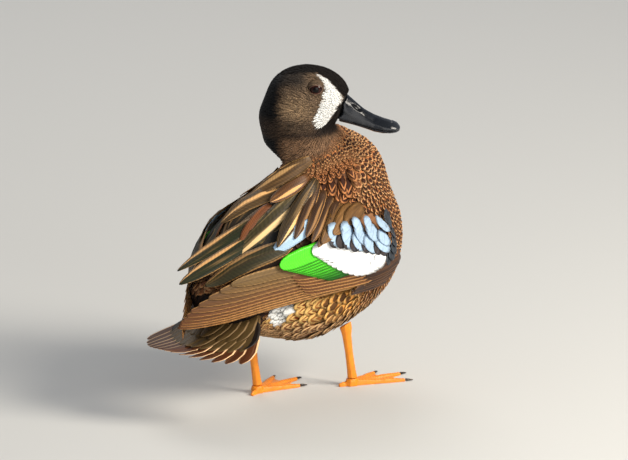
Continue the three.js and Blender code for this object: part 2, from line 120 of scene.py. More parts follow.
def new_object(name, vertices, faces, material):
    """A mesh object from bird-frame points and lists of faces, each list of one size."""
    if isinstance(faces, np.ndarray):
        faces = [faces]
    loops = np.concatenate([f.ravel() for f in faces]).astype(np.int32)
    sizes = np.concatenate([np.full(len(f), f.shape[1]) for f in faces])
    mesh = bpy.data.meshes.new(name)
    mesh.vertices.add(len(vertices))
    mesh.vertices.foreach_set("co", to_row(vertices).astype(np.float32).ravel())
    mesh.loops.add(len(loops))
    mesh.loops.foreach_set("vertex_index", loops)
    mesh.polygons.add(len(sizes))
    mesh.polygons.foreach_set("loop_start", (np.cumsum(sizes) - sizes).astype(np.int32))
    mesh.polygons.foreach_set("use_smooth", np.full(len(sizes), True))
    mesh.update(calc_edges=True)
    obj = bpy.data.objects.new(name, mesh)
    bpy.context.scene.collection.objects.link(obj)
    mesh.materials.append(material)
    return obj


def joined_nodes(nodes):
    """Vertices, in the rows of the frame, and faces of several CAD nodes."""
    vertices, faces, start = [], [], 0
    for node in nodes:
        co = mesh_arrays(NODES[node].data)
        vertices.extend(map(tuple, co))
        faces.extend([tuple(i + start for i in p.vertices) for p in NODES[node].data.polygons])
        start += len(co)
    return vertices, faces


def add_uv(mesh, name, per_vertex):
    layer = mesh.uv_layers.new(name=name)
    corner = np.empty(len(mesh.loops), np.int32)
    mesh.loops.foreach_get("vertex_index", corner)
    layer.data.foreach_set("uv", per_vertex[corner].astype(np.float32).ravel())


def add_colour(mesh, name, per_vertex):
    rgba = np.ones((len(mesh.vertices), 4), np.float32)
    rgba[:, :3] = per_vertex
    mesh.color_attributes.new(name, "FLOAT_COLOR", "POINT").data.foreach_set("color", rgba.ravel())


# ---- material language
SEED_REACH = 60  # how far apart the noise of two feathers may start


class Value:
    """A number, vector or colour inside a material; arithmetic on it adds nodes."""

    def __init__(self, tree, socket):
        self.tree, self.socket = tree, socket

    def math(self, operation, *others):
        node = self.tree.nodes.new("ShaderNodeMath")
        node.operation = operation
        for slot, item in zip(node.inputs, (self, *others)):
            plug(self.tree, item, slot)
        return Value(self.tree, node.outputs[0])

    def __add__(self, other):
        return self.math("ADD", other)

    def __sub__(self, other):
        return self.math("SUBTRACT", other)

    def __mul__(self, other):
        return self.math("MULTIPLY", other)

    def __truediv__(self, other):
        return self.math("DIVIDE", other)

    def abs(self):
        return self.math("ABSOLUTE")

    def sin(self):
        return self.math("SINE")

    def ramp(self, low, high):
        node = self.tree.nodes.new("ShaderNodeMapRange")
        node.interpolation_type = "SMOOTHSTEP"
        plug(self.tree, self, node.inputs["Value"])
        plug(self.tree, low, node.inputs["From Min"])
        plug(self.tree, high, node.inputs["From Max"])
        return Value(self.tree, node.outputs["Result"])

    def blend(self, a, b):
        """Colour a where this is 0, b where it is 1."""
        node = self.tree.nodes.new("ShaderNodeMix")
        node.data_type = "RGBA"
        plug(self.tree, self, node.inputs["Factor"])
        plug(self.tree, a, node.inputs[6])
        plug(self.tree, b, node.inputs[7])
        return Value(self.tree, node.outputs[2])


def plug(tree, item, slot):
    if isinstance(item, Value):
        tree.links.new(item.socket, slot)
    elif isinstance(item, (int, float)):
        slot.default_value = item
    else:
        slot.default_value = (*item, 1.0) if slot.type == "RGBA" else tuple(item)


class Paint:
    """A node material under construction."""

    def __init__(self, name, **settings):
        self.material = bpy.data.materials.new(name)
        self.material.use_nodes = True
        self.tree = self.material.node_tree
        self.shader = self.tree.nodes["Principled BSDF"]
        for key, value in settings.items():
            self.shader.inputs[key.replace("_", " ")].default_value = value

    def attribute(self, name):
        node = self.tree.nodes.new("ShaderNodeAttribute")
        node.attribute_name = name
        return Value(self.tree, node.outputs["Color"])

    def split(self, kind, socket):
        node = self.tree.nodes.new(kind)
        self.tree.links.new(socket, node.inputs[0])
        return [Value(self.tree, output) for output in node.outputs]

    def channels(self, name):
        """The three numbers held by a colour attribute."""
        return self.split("ShaderNodeSeparateColor", self.attribute(name).socket)

    def uv(self, name):
        node = self.tree.nodes.new("ShaderNodeUVMap")
        node.uv_map = name
        return self.split("ShaderNodeSeparateXYZ", node.outputs[0])[:2]

    def place(self):
        return self.tree.nodes.new("ShaderNodeTexCoord").outputs["Object"]

    def noise_at(self, place, scale, detail):
        node = self.tree.nodes.new("ShaderNodeTexNoise")
        node.inputs["Scale"].default_value = scale
        node.inputs["Detail"].default_value = detail
        self.tree.links.new(place, node.inputs["Vector"])
        return Value(self.tree, node.outputs["Fac"])

    def noise(self, scale, detail):
        return self.noise_at(self.place(), scale, detail)

    def streaks(self, across, along, detail=3.0):
        """Noise in a vane's own map, different for each feather."""
        seed = self.channels("seed")
        place = self.tree.nodes.new("ShaderNodeCombineXYZ")
        plug(self.tree, across + seed[0] * SEED_REACH, place.inputs[0])
        plug(self.tree, along, place.inputs[1])
        plug(self.tree, seed[1] * SEED_REACH, place.inputs[2])
        return self.noise_at(place.outputs[0], 1.0, detail)

    def colour(self, value):
        plug(self.tree, value, self.shader.inputs["Base Color"])

    def roughness(self, value):
        plug(self.tree, value, self.shader.inputs["Roughness"])

    def bump(self, height, strength, distance):
        node = self.tree.nodes.new("ShaderNodeBump")
        node.inputs["Strength"].default_value = strength
        node.inputs["Distance"].default_value = distance
        plug(self.tree, height, node.inputs["Height"])
        self.tree.links.new(node.outputs[0], self.shader.inputs["Normal"])


# ---- skin
FLESH = ["head", "neck", "breast", "back", "belly", "rump", "vent", "wing_right", "wing_left"]
SKIN_VOXEL = 1.5


def remeshed(name, nodes, voxel, smoothing):
    """One closed surface round several CAD nodes, as bird-frame points and quads."""
    joined = bpy.data.meshes.new(name)
    vertices, faces = joined_nodes(nodes)
    joined.from_pydata(vertices, [], faces)
    obj = bpy.data.objects.new(name, joined)
    bpy.context.scene.collection.objects.link(obj)
    weld = obj.modifiers.new("weld", "WELD")
    weld.merge_threshold = 1e-6
    modifier = obj.modifiers.new("remesh", "REMESH")
    modifier.mode, modifier.voxel_size = "VOXEL", voxel * MM
    smooth = obj.modifiers.new("smooth", "SMOOTH")
    smooth.factor, smooth.iterations = 0.5, smoothing
    result = bpy.data.meshes.new_from_object(obj.evaluated_get(bpy.context.evaluated_depsgraph_get()))
    points = to_bird(mesh_arrays(result))
    quads = np.array([tuple(p.vertices) for p in result.polygons if len(p.vertices) == 4])
    bpy.data.objects.remove(obj)
    return largest_piece(points, quads)


def largest_piece(points, quads):
    label = np.arange(len(points))
    while True:
        low = label[quads].min(1)
        fresh = label.copy()
        for k in range(4):
            np.minimum.at(fresh, quads[:, k], low)
        fresh = fresh[fresh]
        if (fresh == label).all():
            break
        label = fresh
    winner = np.bincount(label[quads[:, 0]]).argmax()
    quads = quads[label[quads[:, 0]] == winner]
    used, inverse = np.unique(quads, return_inverse=True)
    return points[used], inverse.reshape(-1, 4)


def vertex_normals(points, quads):
    n = np.cross(points[quads[:, 2]] - points[quads[:, 0]], points[quads[:, 3]] - points[quads[:, 1]])
    total = np.zeros_like(points)
    for k in range(4):
        np.add.at(total, quads[:, k], n)
    return unit(total)


def edges_of(quads):
    pairs = np.concatenate([quads[:, [k, (k + 1) % 4]] for k in range(4)])
    return np.unique(np.sort(pairs, 1), axis=0)


def ring_quads(rings, around):
    """Quads between rings of points that follow one another."""
    here = np.arange(rings - 1)[:, None] * around + np.arange(around)
    there = np.arange(rings - 1)[:, None] * around + (np.arange(around) + 1) % around
    return np.stack([here, there, there + around, here + around], -1).reshape(-1, 4)


def walking_distance(points, quads, start):
    """Shortest way over the surface from the start vertices, along edges and quad diagonals."""
    diagonals = np.concatenate([quads[:, [0, 2]], quads[:, [1, 3]]])
    pairs = np.concatenate([edges_of(quads), diagonals])
    lengths = np.linalg.norm(points[pairs[:, 0]] - points[pairs[:, 1]], axis=1)
    near = [[] for _ in points]
    for (a, b), length in zip(pairs.tolist(), lengths.tolist()):
        near[a].append((b, length))
        near[b].append((a, length))
    best = [math.inf] * len(points)
    queue = [(0.0, i) for i in start]
    for _, i in queue:
        best[i] = 0.0
    while queue:
        d, i = heapq.heappop(queue)
        if d > best[i]:
            continue
        for j, length in near[i]:
            if d + length < best[j]:
                best[j] = d + length
                heapq.heappush(queue, (d + length, j))
    return np.array(best)


def relaxed(values, pairs, rounds):
    for _ in range(rounds):
        total, count = values.copy(), np.ones(len(values))
        for a, b in ((0, 1), (1, 0)):
            np.add.at(total, pairs[:, a], values[pairs[:, b]])
            np.add.at(count, pairs[:, a], 1)
        values = total / (count[:, None] if values.ndim > 1 else count)
    return values


class Bed:
    """A surface that feathers lie on, with the way the coat lies at each point of it."""

    def __init__(self, points, quads):
        self.points, self.quads = points, quads
        self.normals = vertex_normals(points, quads)
        self.tree = BVHTree.FromPolygons(points.tolist(), quads.tolist())

    def comb(self, start):
        """The coat lies away from the start point, over the surface."""
        pairs = edges_of(self.quads)
        walk = relaxed(walking_distance(self.points, self.quads, start), pairs, 6)
        slope = np.zeros_like(self.points)
        for a, b in ((0, 1), (1, 0)):
            way = self.points[pairs[:, b]] - self.points[pairs[:, a]]
            rise = walk[pairs[:, b]] - walk[pairs[:, a]]
            np.add.at(slope, pairs[:, a], way * (rise / np.maximum((way**2).sum(1), 1e-9))[:, None])
        slope = relaxed(unit(slope), pairs, 25)
        self.lie = unit(slope - self.normals * (slope * self.normals).sum(1, keepdims=True))

    def nearest(self, points):
        """Point, normal and lie on the surface nearest each point."""
        found = [self.tree.find_nearest(p) for p in points.tolist()]
        place = np.array([f[0] for f in found])
        corners = self.quads[[f[2] for f in found]]
        weight = 1 / (np.linalg.norm(self.points[corners] - place[:, None], axis=2) + 0.05)
        weight /= weight.sum(1, keepdims=True)
        normal = unit((self.normals[corners] * weight[..., None]).sum(1))
        lie = unit((self.lie[corners] * weight[..., None]).sum(1))
        return place, normal, lie


def coat_depth(points):
    """How far the skin lies under the tips of the coat."""
    head = head_frame(points)
    on_head = ramp(points[:, 2], 150, 172) * ramp(np.linalg.norm(head, axis=1), 60, 40)
    by_bill = ramp(head[:, 0], 23, 26.5) * ramp(head[:, 2], 7, 3) * ramp(head[:, 2], -15, -11)
    return mix(2.6, 1.0, on_head) + 1.7 * by_bill


flesh_points, flesh_quads = remeshed("flesh", FLESH, SKIN_VOXEL, 8)
skin_points = flesh_points - vertex_normals(flesh_points, flesh_quads) * coat_depth(flesh_points)[:, None]
skin = Bed(skin_points, flesh_quads)
BILL_BASE = from_head(np.array([30.0, 0.0, -4.0]))
skin.comb(np.flatnonzero(np.linalg.norm(skin_points - BILL_BASE, axis=1) < 8))
TAILWARD = np.array([-1.0, 0.0, -0.12])


def comb_trunk(bed):
    """On the trunk the coat lies towards the tail, and down over the front of the breast."""
    x, _, z = bed.points.T
    trunk = ramp(x, 50, 15) * ramp(z, 150, 125)
    way = TAILWARD - bed.normals * (bed.normals @ TAILWARD)[:, None]
    bed.lie = unit(mix(bed.lie, unit(way), trunk))
    bed.lie = unit(relaxed(bed.lie, edges_of(bed.quads), 12))


comb_trunk(skin)

# ---- plumage, as colours and marks
BLACK = srgb(16, 13, 12)
SLATE = srgb(36, 38, 42)
FACE = srgb(132, 108, 84)
NECK = srgb(150, 114, 84)
WHITE = srgb(246, 246, 242)
TAWNY = srgb(196, 126, 74)
BUFF = srgb(242, 198, 142)
DARK_BROWN = srgb(46, 30, 20)
BROWN = srgb(112, 78, 50)

# The white crescent's edges: height seen from the side, then how far forward.
CRESCENT_REAR = np.array([
    (-18.6, 8.4), (-14.8, 7.3), (-9.5, 9.9), (-2.8, 12.5), (4.5, 14.4), (10.5, 13.8), (13.9, 11.2),
    (16.2, 9.3)
])
CRESCENT_FRONT = np.array([
    (-19.6, 11.6), (-16.8, 15), (-12.8, 18.3), (-7.5, 21.5), (-2.1, 24.7), (1.2, 26), (3.9, 24.1),
    (8.5, 20.2), (13.9, 15), (16.2, 10.4)
])


def wobble(p, scale, seed):
    """Smooth noise about zero, within one."""
    q = np.asarray(p) / scale + seed
    a = np.sin(q[:, 0] * 1.7 + 2.1 * np.sin(q[:, 1] * 1.3 + seed))
    b = np.sin(q[:, 1] * 2.3 + 1.7 * np.sin(q[:, 2]))
    return (a + b + np.sin(q[:, 2] * 1.9 + 1.9 * np.sin(q[:, 0] * 1.1 + seed))) / 3


def plumage(p):
    """Colour, second colour, and how strongly a feather is edged, spotted and barred, at each point."""
    x, y, z = p.T
    forward, left, up = head_frame(p).T
    aside = np.abs(y)
    seen_up = up - 0.268 * np.abs(left)
    base = np.tile(TAWNY, (len(p), 1))
    accent = np.tile(BUFF, (len(p), 1))
    edge, spot, bar = np.full(len(p), 0.6), np.full(len(p), 1.0), np.zeros(len(p))

    def lay(where, colour, second, marks):
        nonlocal base, accent, edge, spot, bar
        base, accent = mix(base, colour, where), mix(accent, second, where)
        edge, spot, bar = mix(edge, marks[0], where), mix(spot, marks[1], where), mix(bar, marks[2], where)

    belly = ramp(z, 62, 50) * ramp(x, -60, -45)
    lay(belly, srgb(214, 160, 104), BUFF, (0.4, 0.8, 0))
    flank = ramp(z, 84, 74) * ramp(x, 12, -6) * ramp(aside, 12, 20)
    lay(flank, srgb(142, 66, 20), srgb(255, 206, 124), (1.0, 0.0, 1.0))
    lay(flank * ramp(x, -38, -26), srgb(250, 176, 88), srgb(255, 206, 124), (0.7, 0.9, 0))
    mantle = ramp(z, 108, 118) * ramp(x + 0.62 * aside, 30, 22) * ramp(z - 0.2 * x, 158, 150)
    lay(mantle, srgb(54, 25, 12), srgb(206, 136, 82), (0.85, 0, 0.5))
    back = ramp(x, -30, -48) * ramp(z, 84, 92)
    lay(back, DARK_BROWN, BROWN, (0.4, 0, 0.1))
    vent = ramp(x, -64, -72) * ramp(z, 88, 80)
    lay(vent, BLACK, DARK_BROWN, (0.25, 0, 0))
    rear_belly = ramp(z, 58, 50) * ramp(x, -84, -72)
    lay(rear_belly, srgb(120, 76, 40), BUFF, (0.7, 0.2, 0.4))
    hip = np.hypot((x + aside + 35.5) / 10.5, (z - 66) / 12)
    lay(ramp(hip + 0.08 * wobble(p, 3, 1), 1.05, 0.9) * ramp(aside, 10, 14), WHITE, WHITE, (0, 0, 0))

    collar = z - (156 + (x + 24) * 0.5) + 2.2 * wobble(p, 5, 3)
    grey = ramp(collar, -5, 5)
    lay(grey, NECK, srgb(170, 140, 108), (0.3, 0.4, 0))
    face = ramp(forward, -24, -8) * ramp(up, -24, -14) * grey
    lay(face, FACE, srgb(150, 128, 104), (0.3, 0.45, 0))
    # Painted shade: the back of the head and the nape darkened to near black, as the side turned from the
    # light.
    nape_shade = ramp(forward + 0.25 * np.abs(left), -3, -15) * ramp(collar, -4, 6)
    lay(nape_shade, srgb(8, 9, 11), srgb(24, 27, 30), (0.15, 0, 0))
    cheek = ramp(np.hypot((forward + 4) / 15, (up + 3) / 11), 1.0, 0.2) * grey
    lay(cheek * 0.8, srgb(168, 138, 104), srgb(186, 160, 124), (0.3, 0.4, 0))
    low_face = ramp(up, -7, -14) * ramp(up, -26, -20) * grey
    lay(low_face * 0.7, srgb(62, 48, 36), srgb(110, 90, 70), (0.2, 0.3, 0))
    upper_face = ramp(up, 6, 15) * ramp(forward, 8, -2) * grey
    lay(upper_face * 0.85, srgb(34, 35, 36), SLATE, (0.15, 0.1, 0))
    chin = ramp(up, -13, -16) * ramp(up, -23, -20) * ramp(forward, 6, 12) * grey
    lay(chin * 0.8, BLACK * 1.4, SLATE, (0.1, 0, 0))
    # Painted shade: a dark line along the fold under the cheek, where the head meets the neck.
    jaw_crease_shade = np.exp(-(((up + 19.6) / 1.8) ** 2)) * ramp(forward, -18, -8) * grey
    lay(jaw_crease_shade * 0.75, srgb(34, 26, 22), NECK, (0.1, 0.2, 0))
    crown = ramp(seen_up + 0.9 * wobble(p, 2.5, 5), 15.5, 17.8) * grey
    lay(crown, srgb(9, 6, 5), srgb(44, 28, 20), (0.3, 0, 0))
    front = np.interp(seen_up, CRESCENT_FRONT[:, 0], CRESCENT_FRONT[:, 1])
    rear = np.interp(seen_up, CRESCENT_REAR[:, 0], CRESCENT_REAR[:, 1])
    ragged = 0.5 * wobble(p, 1.1, 7)
    before = ramp(forward - front + ragged, -0.4, 0.6) * ramp(forward, 5, 10) * ramp(up, -21, -17) * grey
    lay(before, srgb(14, 10, 8), srgb(44, 30, 22), (0.4, 0, 0))
    within = ramp(seen_up, -19.8, -18.4) * ramp(seen_up, 16.4, 15.2)
    white = ramp(forward - rear + ragged, -0.5, 0.5) * ramp(front - forward + ragged, -0.5, 0.5) * within
    lay(white, WHITE, WHITE, (0, 0, 0))
    return base, accent, np.stack([edge, spot, bar], -1)


# ---- feather material
def plume_material(name, deep, barbs=0.0):
    """Edges, a dark spot and an inner bar drawn inside every vane from its own map."""
    paint = Paint(name, Roughness=0.75, Specular_IOR_Level=0.2)
    u, v = paint.uv("vane")
    across = u * 2 - 1
    aside = across.abs()
    reach = ((v - 0.38) / 0.62).math("MAXIMUM", 0.0)
    outline = (across * across + reach * reach).math("SQRT")
    edge, spot, bar = paint.channels("marks")
    grain = paint.noise(900, 2.0)
    blotch = paint.streaks(across * 0.9, v * 1.4, 2.0)
    plain = paint.channels("base")[2].ramp(0.75, 0.5)  # spares white feathers the darker marks
    rim = (outline + (grain - 0.5) * 0.1 + bar * 0.14).ramp(0.78, 0.9) * edge
    vee = aside * 0.62 + (v - 0.3)
    thin = bar * 0.07 + 0.03
    inner = ((vee - 0.42).abs() / thin).ramp(1.4, 0.7) * bar.ramp(0.0, 0.5) * v.ramp(0.2, 0.36)
    colour = rim.math("MAXIMUM", inner).blend(paint.attribute("base"), paint.attribute("accent"))
    dx, dy = across / 0.72, (v - 0.62) / 0.22
    dot = ((dx * dx + dy * dy).math("SQRT") + (blotch - 0.5) * 1.4).ramp(1.1, 0.8) * spot
    colour = dot.blend(colour, deep)
    colour = (aside.ramp(0.1, 0.03) * 0.35 * plain * v.ramp(1.0, 0.7)).blend(colour, deep)
    if barbs:
        comb = (v * 46 + aside * 4 + grain * 2.5).sin() * 0.5 + 0.5
        colour = (comb * barbs * plain).blend(colour, deep)
        paint.bump(comb, 0.25, 0.0002)
    colour = (grain.ramp(0.35, 0.75) * 0.14 * plain).blend(colour, (0.02, 0.014, 0.01))
    paint.colour(colour)
    return paint.material


def blade_material(name, deep, roughness, barbs=0.25, strength=0.3, streaky=0.5, shaft=0.5, rim_from=0.84):
    """Long feathers: a stripe along the vane, fringed edges, streaks, a pale shaft and fine barbs."""
    paint = Paint(name, Roughness=roughness, Specular_IOR_Level=0.35)
    u, v = paint.uv("vane")
    across = u * 2 - 1
    aside = across.abs()
    edge, stripe, place = paint.channels("marks")
    streak = paint.streaks(across * 3.2, v * 1.6)
    fine = paint.noise(1500, 2.0)
    width = v.ramp(0.1, 0.5) * v.ramp(1.04, 0.6) * 0.2 + 0.05
    band = (across - (place * 2 - 1) + (streak - 0.5) * 0.2).abs()
    band = (band / width).ramp(1.3, 0.6) * stripe * v.ramp(0.1, 0.3)
    rim = (aside + (fine - 0.5) * 0.08).ramp(rim_from, rim_from + 0.1) * edge
    comb = (v * 150 + aside * 9 + fine * 3).sin() * 0.5 + 0.5
    base = (comb * barbs).blend(paint.attribute("base"), deep)
    base = (streak.ramp(0.52, 0.25) * streaky).blend(base, deep)
    base = (streak.ramp(0.5, 0.75) * streaky * 0.5).blend(base, paint.attribute("accent"))
    colour = band.math("MAXIMUM", rim).blend(base, paint.attribute("accent"))
    colour = (aside.ramp(0.06, 0.02) * shaft).blend(colour, srgb(70, 48, 32))
    paint.colour(colour)
    paint.bump(comb, strength, 0.00025)
    return paint.material


HEAD_PLUME = plume_material("head_plume", srgb(38, 32, 28))
BODY_PLUME = plume_material("body_plume", srgb(58, 30, 16), barbs=0.16)

# ---- vanes
# Outlines of vanes: the share of the way from root to tip, then the share of the full width there.
SMALL = np.array([(0.0, 0.45), (0.5, 1.0), (0.86, 0.66)])
CONTOUR = np.array([(0.0, 0.4), (0.34, 0.92), (0.68, 1.0), (0.91, 0.62)])
COVERT = np.array([(0.0, 0.5), (0.25, 0.86), (0.5, 1.0), (0.75, 0.96), (0.92, 0.64), (0.985, 0.3)])
BLADE = np.array(
    [(0, 0.5), (0.1, 0.76), (0.25, 0.95), (0.45, 1), (0.65, 0.95), (0.8, 0.78), (0.91, 0.5), (0.975, 0.24)]
)
REMIGE = np.array(
    [(0, 0.4), (0.1, 0.8), (0.3, 1), (0.6, 1), (0.8, 0.92), (0.9, 0.74), (0.96, 0.5), (0.99, 0.25)]
)


def vane_mesh(spine, normal, side, half, stations, columns, thickness, camber):
    """Closed thin vanes along n spines of k points: ring vertices, then a root and a tip point each."""
    n, k = spine.shape[:2]
    c = np.linspace(-1, 1, columns)
    if half.ndim == 2:
        half = np.stack([half, half], -1)
    wide = np.where(c < 0, half[:, :, :1], half[:, :, 1:])
    half = half.mean(2)
    rise = camber * half[:, :, None] * (1 - c**2) + thickness * (1 - np.abs(c)) ** 2
    top = spine[:, :, None] + side[:, :, None] * (wide * c)[..., None] + normal[:, :, None] * rise[..., None]
    under = top - normal[:, :, None] * thickness
    ring = np.concatenate([top, under[:, :, -2:0:-1]], 2)
    r = ring.shape[2]
    start = spine[:, :1] - (spine[:, 1:2] - spine[:, :1]) * 0.05
    ahead = spine[:, -1] - spine[:, -2]
    end = spine[:, -1] + ahead * ((1 - stations[-1]) / (stations[-1] - stations[-2]))[..., None]
    end = end + normal[:, -1] * (camber * half[:, -1] * 0.5)[:, None]
    vertices = np.concatenate([ring.reshape(n, k * r, 3), start, end[:, None]], 1)
    across = np.concatenate([(c + 1) / 2, ((c + 1) / 2)[-2:0:-1]])
    vane = np.zeros((k * r + 2, 2))
    vane[:-2, 0] = np.tile(across, k)
    vane[:-2, 1] = np.repeat(stations, r)
    vane[-2:] = (0.5, 0), (0.5, 1)
    i = np.arange(r)
    j = (i + 1) % r
    last = (k - 1) * r
    fans = np.concatenate(
        [np.stack([np.full(r, k * r), j, i], -1), np.stack([last + i, last + j, np.full(r, k * r + 1)], -1)]
    )
    step = (np.arange(n) * (k * r + 2))[:, None, None]
    return (
        vertices.reshape(-1, 3),
        [(ring_quads(k, r)[None] + step).reshape(-1, 4), (fans[None] + step).reshape(-1, 3)],
        np.tile(vane, (n, 1)),
        k * r + 2,
    )


def bake_cells(roots):
    """A cell of a square grid for each feather, sorted by the root's place along and round the body."""
    n = len(roots)
    rows = int(math.ceil(math.sqrt(n)))
    around = np.arctan2(roots[:, 1] + 1e-3, roots[:, 2] - 90)
    order = np.argsort(roots[:, 0] + 0.3 * roots[:, 2])
    cell = np.zeros((n, 2))
    for row in range(rows):
        members = order[row * rows : (row + 1) * rows]
        members = members[np.argsort(around[members])]
        cell[members] = np.stack([np.arange(len(members)), np.full(len(members), row)], -1)
    return (cell + 0.08) / rows, 0.84 / rows


def feather_piece(name, spine, normal, side, half, stations, colours, material, slot, nodes, *, thickness,
                  camber, columns=3):
    """A joined mesh of vanes with its maps and colours, standing for CAD nodes."""
    points, faces, vane, each = vane_mesh(spine, normal, side, half, stations, columns, thickness, camber)
    obj = new_object(name, points, faces, material)
    cells, size = bake_cells(spine[:, 0])
    add_uv(obj.data, "OFBake", np.repeat(cells, each, 0) + vane * size)
    add_uv(obj.data, "vane", vane)
    base, accent, marks = colours
    seed = RNG.random((len(spine), 3))
    for label, value in (("base", base), ("accent", accent), ("marks", marks), ("seed", seed)):
        add_colour(obj.data, label, np.repeat(value, each, 0))
    finish_piece(obj, nodes)


def finish_piece(obj, nodes):
    """Hands a piece to the frame, with the CAD nodes it stands for."""
    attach(obj, "root")
    if nodes:
        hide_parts(*nodes)


def scatter(bed, keep, spacing):
    """Points spread evenly over the part of a bed where keep is over a half."""
    a, b, c, d = (bed.points[bed.quads[:, i]] for i in range(4))
    centres = (a + b + c + d) / 4
    area = np.linalg.norm(np.cross(c - a, d - b), axis=1) / 2
    wanted = keep(centres)
    gap = spacing(centres)
    rate = np.where(wanted > 0.02, area / gap**2 * 4.5, 0)
    count = RNG.poisson(rate)
    pick = np.repeat(np.arange(len(a)), count)
    u, v = RNG.random((2, len(pick), 1))
    p = (a[pick] * (1 - u) + b[pick] * u) * (1 - v) + (d[pick] * (1 - u) + c[pick] * u) * v
    chance = RNG.random(len(p)) < keep(p)
    p, gap = p[chance], gap[pick][chance]
    order = RNG.permutation(len(p))
    p, gap = p[order], gap[order]
    cell = gap.max()
    grid, kept = {}, []
    for i, (point, g) in enumerate(zip(p.tolist(), gap.tolist())):
        x, y, z = (int(math.floor(q / cell)) for q in point)
        near = [(x + i1, y + j1, z + k1) for i1 in (-1, 0, 1) for j1 in (-1, 0, 1) for k1 in (-1, 0, 1)]
        if not any(
            (point[0] - other[0]) ** 2 + (point[1] - other[1]) ** 2 + (point[2] - other[2]) ** 2 < g * g
            for key in near for other in grid.get(key, ())
        ):
            grid.setdefault((x, y, z), []).append(point)
            kept.append(i)
    return p[kept]


def walk_spines(bed, roots, length, stations, swing):
    """Lines that start at the roots and follow the coat's lie over the bed."""
    place, normal, lie = bed.nearest(roots)
    lie = unit(lie + np.cross(normal, lie) * swing[:, None])
    lines, normals, ways = [place], [normal], [lie]
    for before, after in zip(stations, stations[1:]):
        goal = lines[-1] + ways[-1] * (length * (after - before))[:, None]
        place, normal, lie = bed.nearest(goal)
        way = ways[-1] * 0.75 + lie * 0.25
        lines.append(place)
        normals.append(normal)
        ways.append(unit(way - normal * (way * normal).sum(1, keepdims=True)))
    return np.stack(lines, 1), np.stack(normals, 1), np.stack(ways, 1)


def coat(prefix, bed, keep, spacing, length, width, lift, profile, material, slot, groups, vary=0.25,
         **shape):
    """A tract of small feathers, cut into named pieces by where they root."""
    roots = scatter(bed, keep, spacing)
    size = 1 + 0.16 * (RNG.random(len(roots)) - 0.5)
    long, half = length(roots) * size, width(roots) * size / 2
    stations = profile[:, 0]
    line, normal, way = walk_spines(bed, roots, long, stations, 0.16 * (RNG.random(len(roots)) - 0.5))
    high = lift(roots) * (1 + 0.25 * (RNG.random(len(roots)) - 0.5))
    height = 0.25 + high[:, None] * stations**1.1
    spine = line + normal * height[..., None]
    roll = 0.14 * (RNG.random((len(roots), 1, 1)) - 0.5)
    side = unit(np.cross(way, normal) + normal * roll)
    normal = unit(np.cross(side, np.gradient(spine, axis=1)))
    centre = spine[:, len(stations) // 2]
    base, accent, marks = plumage(centre)
    tone = 1 + vary * (RNG.random((len(roots), 1)) - 0.5) * (1 - ramp(base.mean(1), 0.5, 0.8))[:, None]
    colours = [base * tone, accent * tone, marks]
    label = groups(roots)
    for group in np.unique(label):
        m = label == group
        feather_piece(
            f"{prefix}_{group}", spine[m], normal[m], side[m], half[m, None] * profile[:, 1], stations,
            [c[m] for c in colours], material, slot, [], **shape
        )


def skin_piece():
    base, accent, marks = plumage(skin.points)
    paint = Paint("skin", Roughness=0.85)
    shade = paint.noise(700, 3.0) * (paint.channels("base")[2].ramp(0.7, 0.4) * 0.5 + 0.1)
    paint.colour(shade.blend(paint.attribute("base"), (0.02, 0.016, 0.012)))
    paint.bump(paint.noise(1200, 2.0), 0.4, 0.0003)
    obj = new_object("skin", skin.points, skin.quads, paint.material)
    dull = mix(base, accent, 0.25 * marks[:, 0]) * (1 - 0.35 * marks[:, 1:2])
    add_colour(obj.data, "base", dull)
    finish_piece(obj, FLESH)


skin_piece()


def around_eye(p):
    """Distance from the nearer eye; under one the lids take the place of the skin."""
    forward, left, up = head_frame(p).T
    f, u = forward - EYE_PLACE[0], up - EYE_PLACE[2]
    far = np.sqrt((f / 5.6) ** 2 + (u / 5.0) ** 2)
    return np.where(np.abs(left) > 6, far, 9)


def off_bill(p):
    """One where feathers grow, nothing within the base of the bill."""
    forward, _, up = head_frame(p).T
    limit = np.interp(up, [-21, -19, -9.6, 2.5, 4.5], [40, 22, 22.4, 26.6, 40])
    return ramp(forward - limit, 0.3, -0.7)


def headness(p):
    return ramp(p[:, 2] - (153 + (p[:, 0] + 24) * 0.45), -3, 3)


def wing_zone(p):
    """One on the folded wing's outer face."""
    x, y, z = p.T
    lower = np.interp(x, [-110, -60, 0, 30, 40], [62, 69, 72, 82, 96])
    upper = np.interp(x, [-110, -60, 0, 30, 40], [92, 106, 122, 118, 100])
    height = ramp(z, lower - 1, lower + 1) * ramp(z, upper + 2, upper)
    return ramp(np.abs(y), 22, 26) * height * ramp(x, 27, 23)


def sided(names, left):
    """The names with the side of the bird that each point is on."""
    return np.char.add(np.char.add(names, "_"), np.where(left < 0, "right", "left"))


def head_groups(p):
    forward, left, up = head_frame(p).T
    return sided(np.select([up > 13, up <= -16, forward > 0], ["crown", "neck", "face"], "cheek"), left)


def head_keep(p):
    return headness(p) * (around_eye(p) > 1) * off_bill(p)


def head_size(p):
    """Grows from the bill back and down the neck."""
    forward, _, up = head_frame(p).T
    return mix(1.0, 1.55, ramp(forward, 24, -15)) + 0.5 * ramp(up, -16, -34)


coat("coat_head", skin, head_keep, lambda p: head_size(p) * 0.72, lambda p: head_size(p) * 3.0,
     lambda p: head_size(p) * 1.15, lambda p: 0.45 + 0.15 * head_size(p), SMALL, HEAD_PLUME, "head_feathers",
     head_groups, vary=0.7, thickness=0.08, camber=0.12)


def body_keep(p):
    return (1 - headness(p)) * (1 - wing_zone(p)) * ramp(p[:, 0], -116, -112)


def by_hip(p):
    """One round the hip, where the feathers are small and lie flat."""
    return ramp(p[:, 0] + np.abs(p[:, 1]), -18, -24) * ramp(p[:, 2], 82, 76)


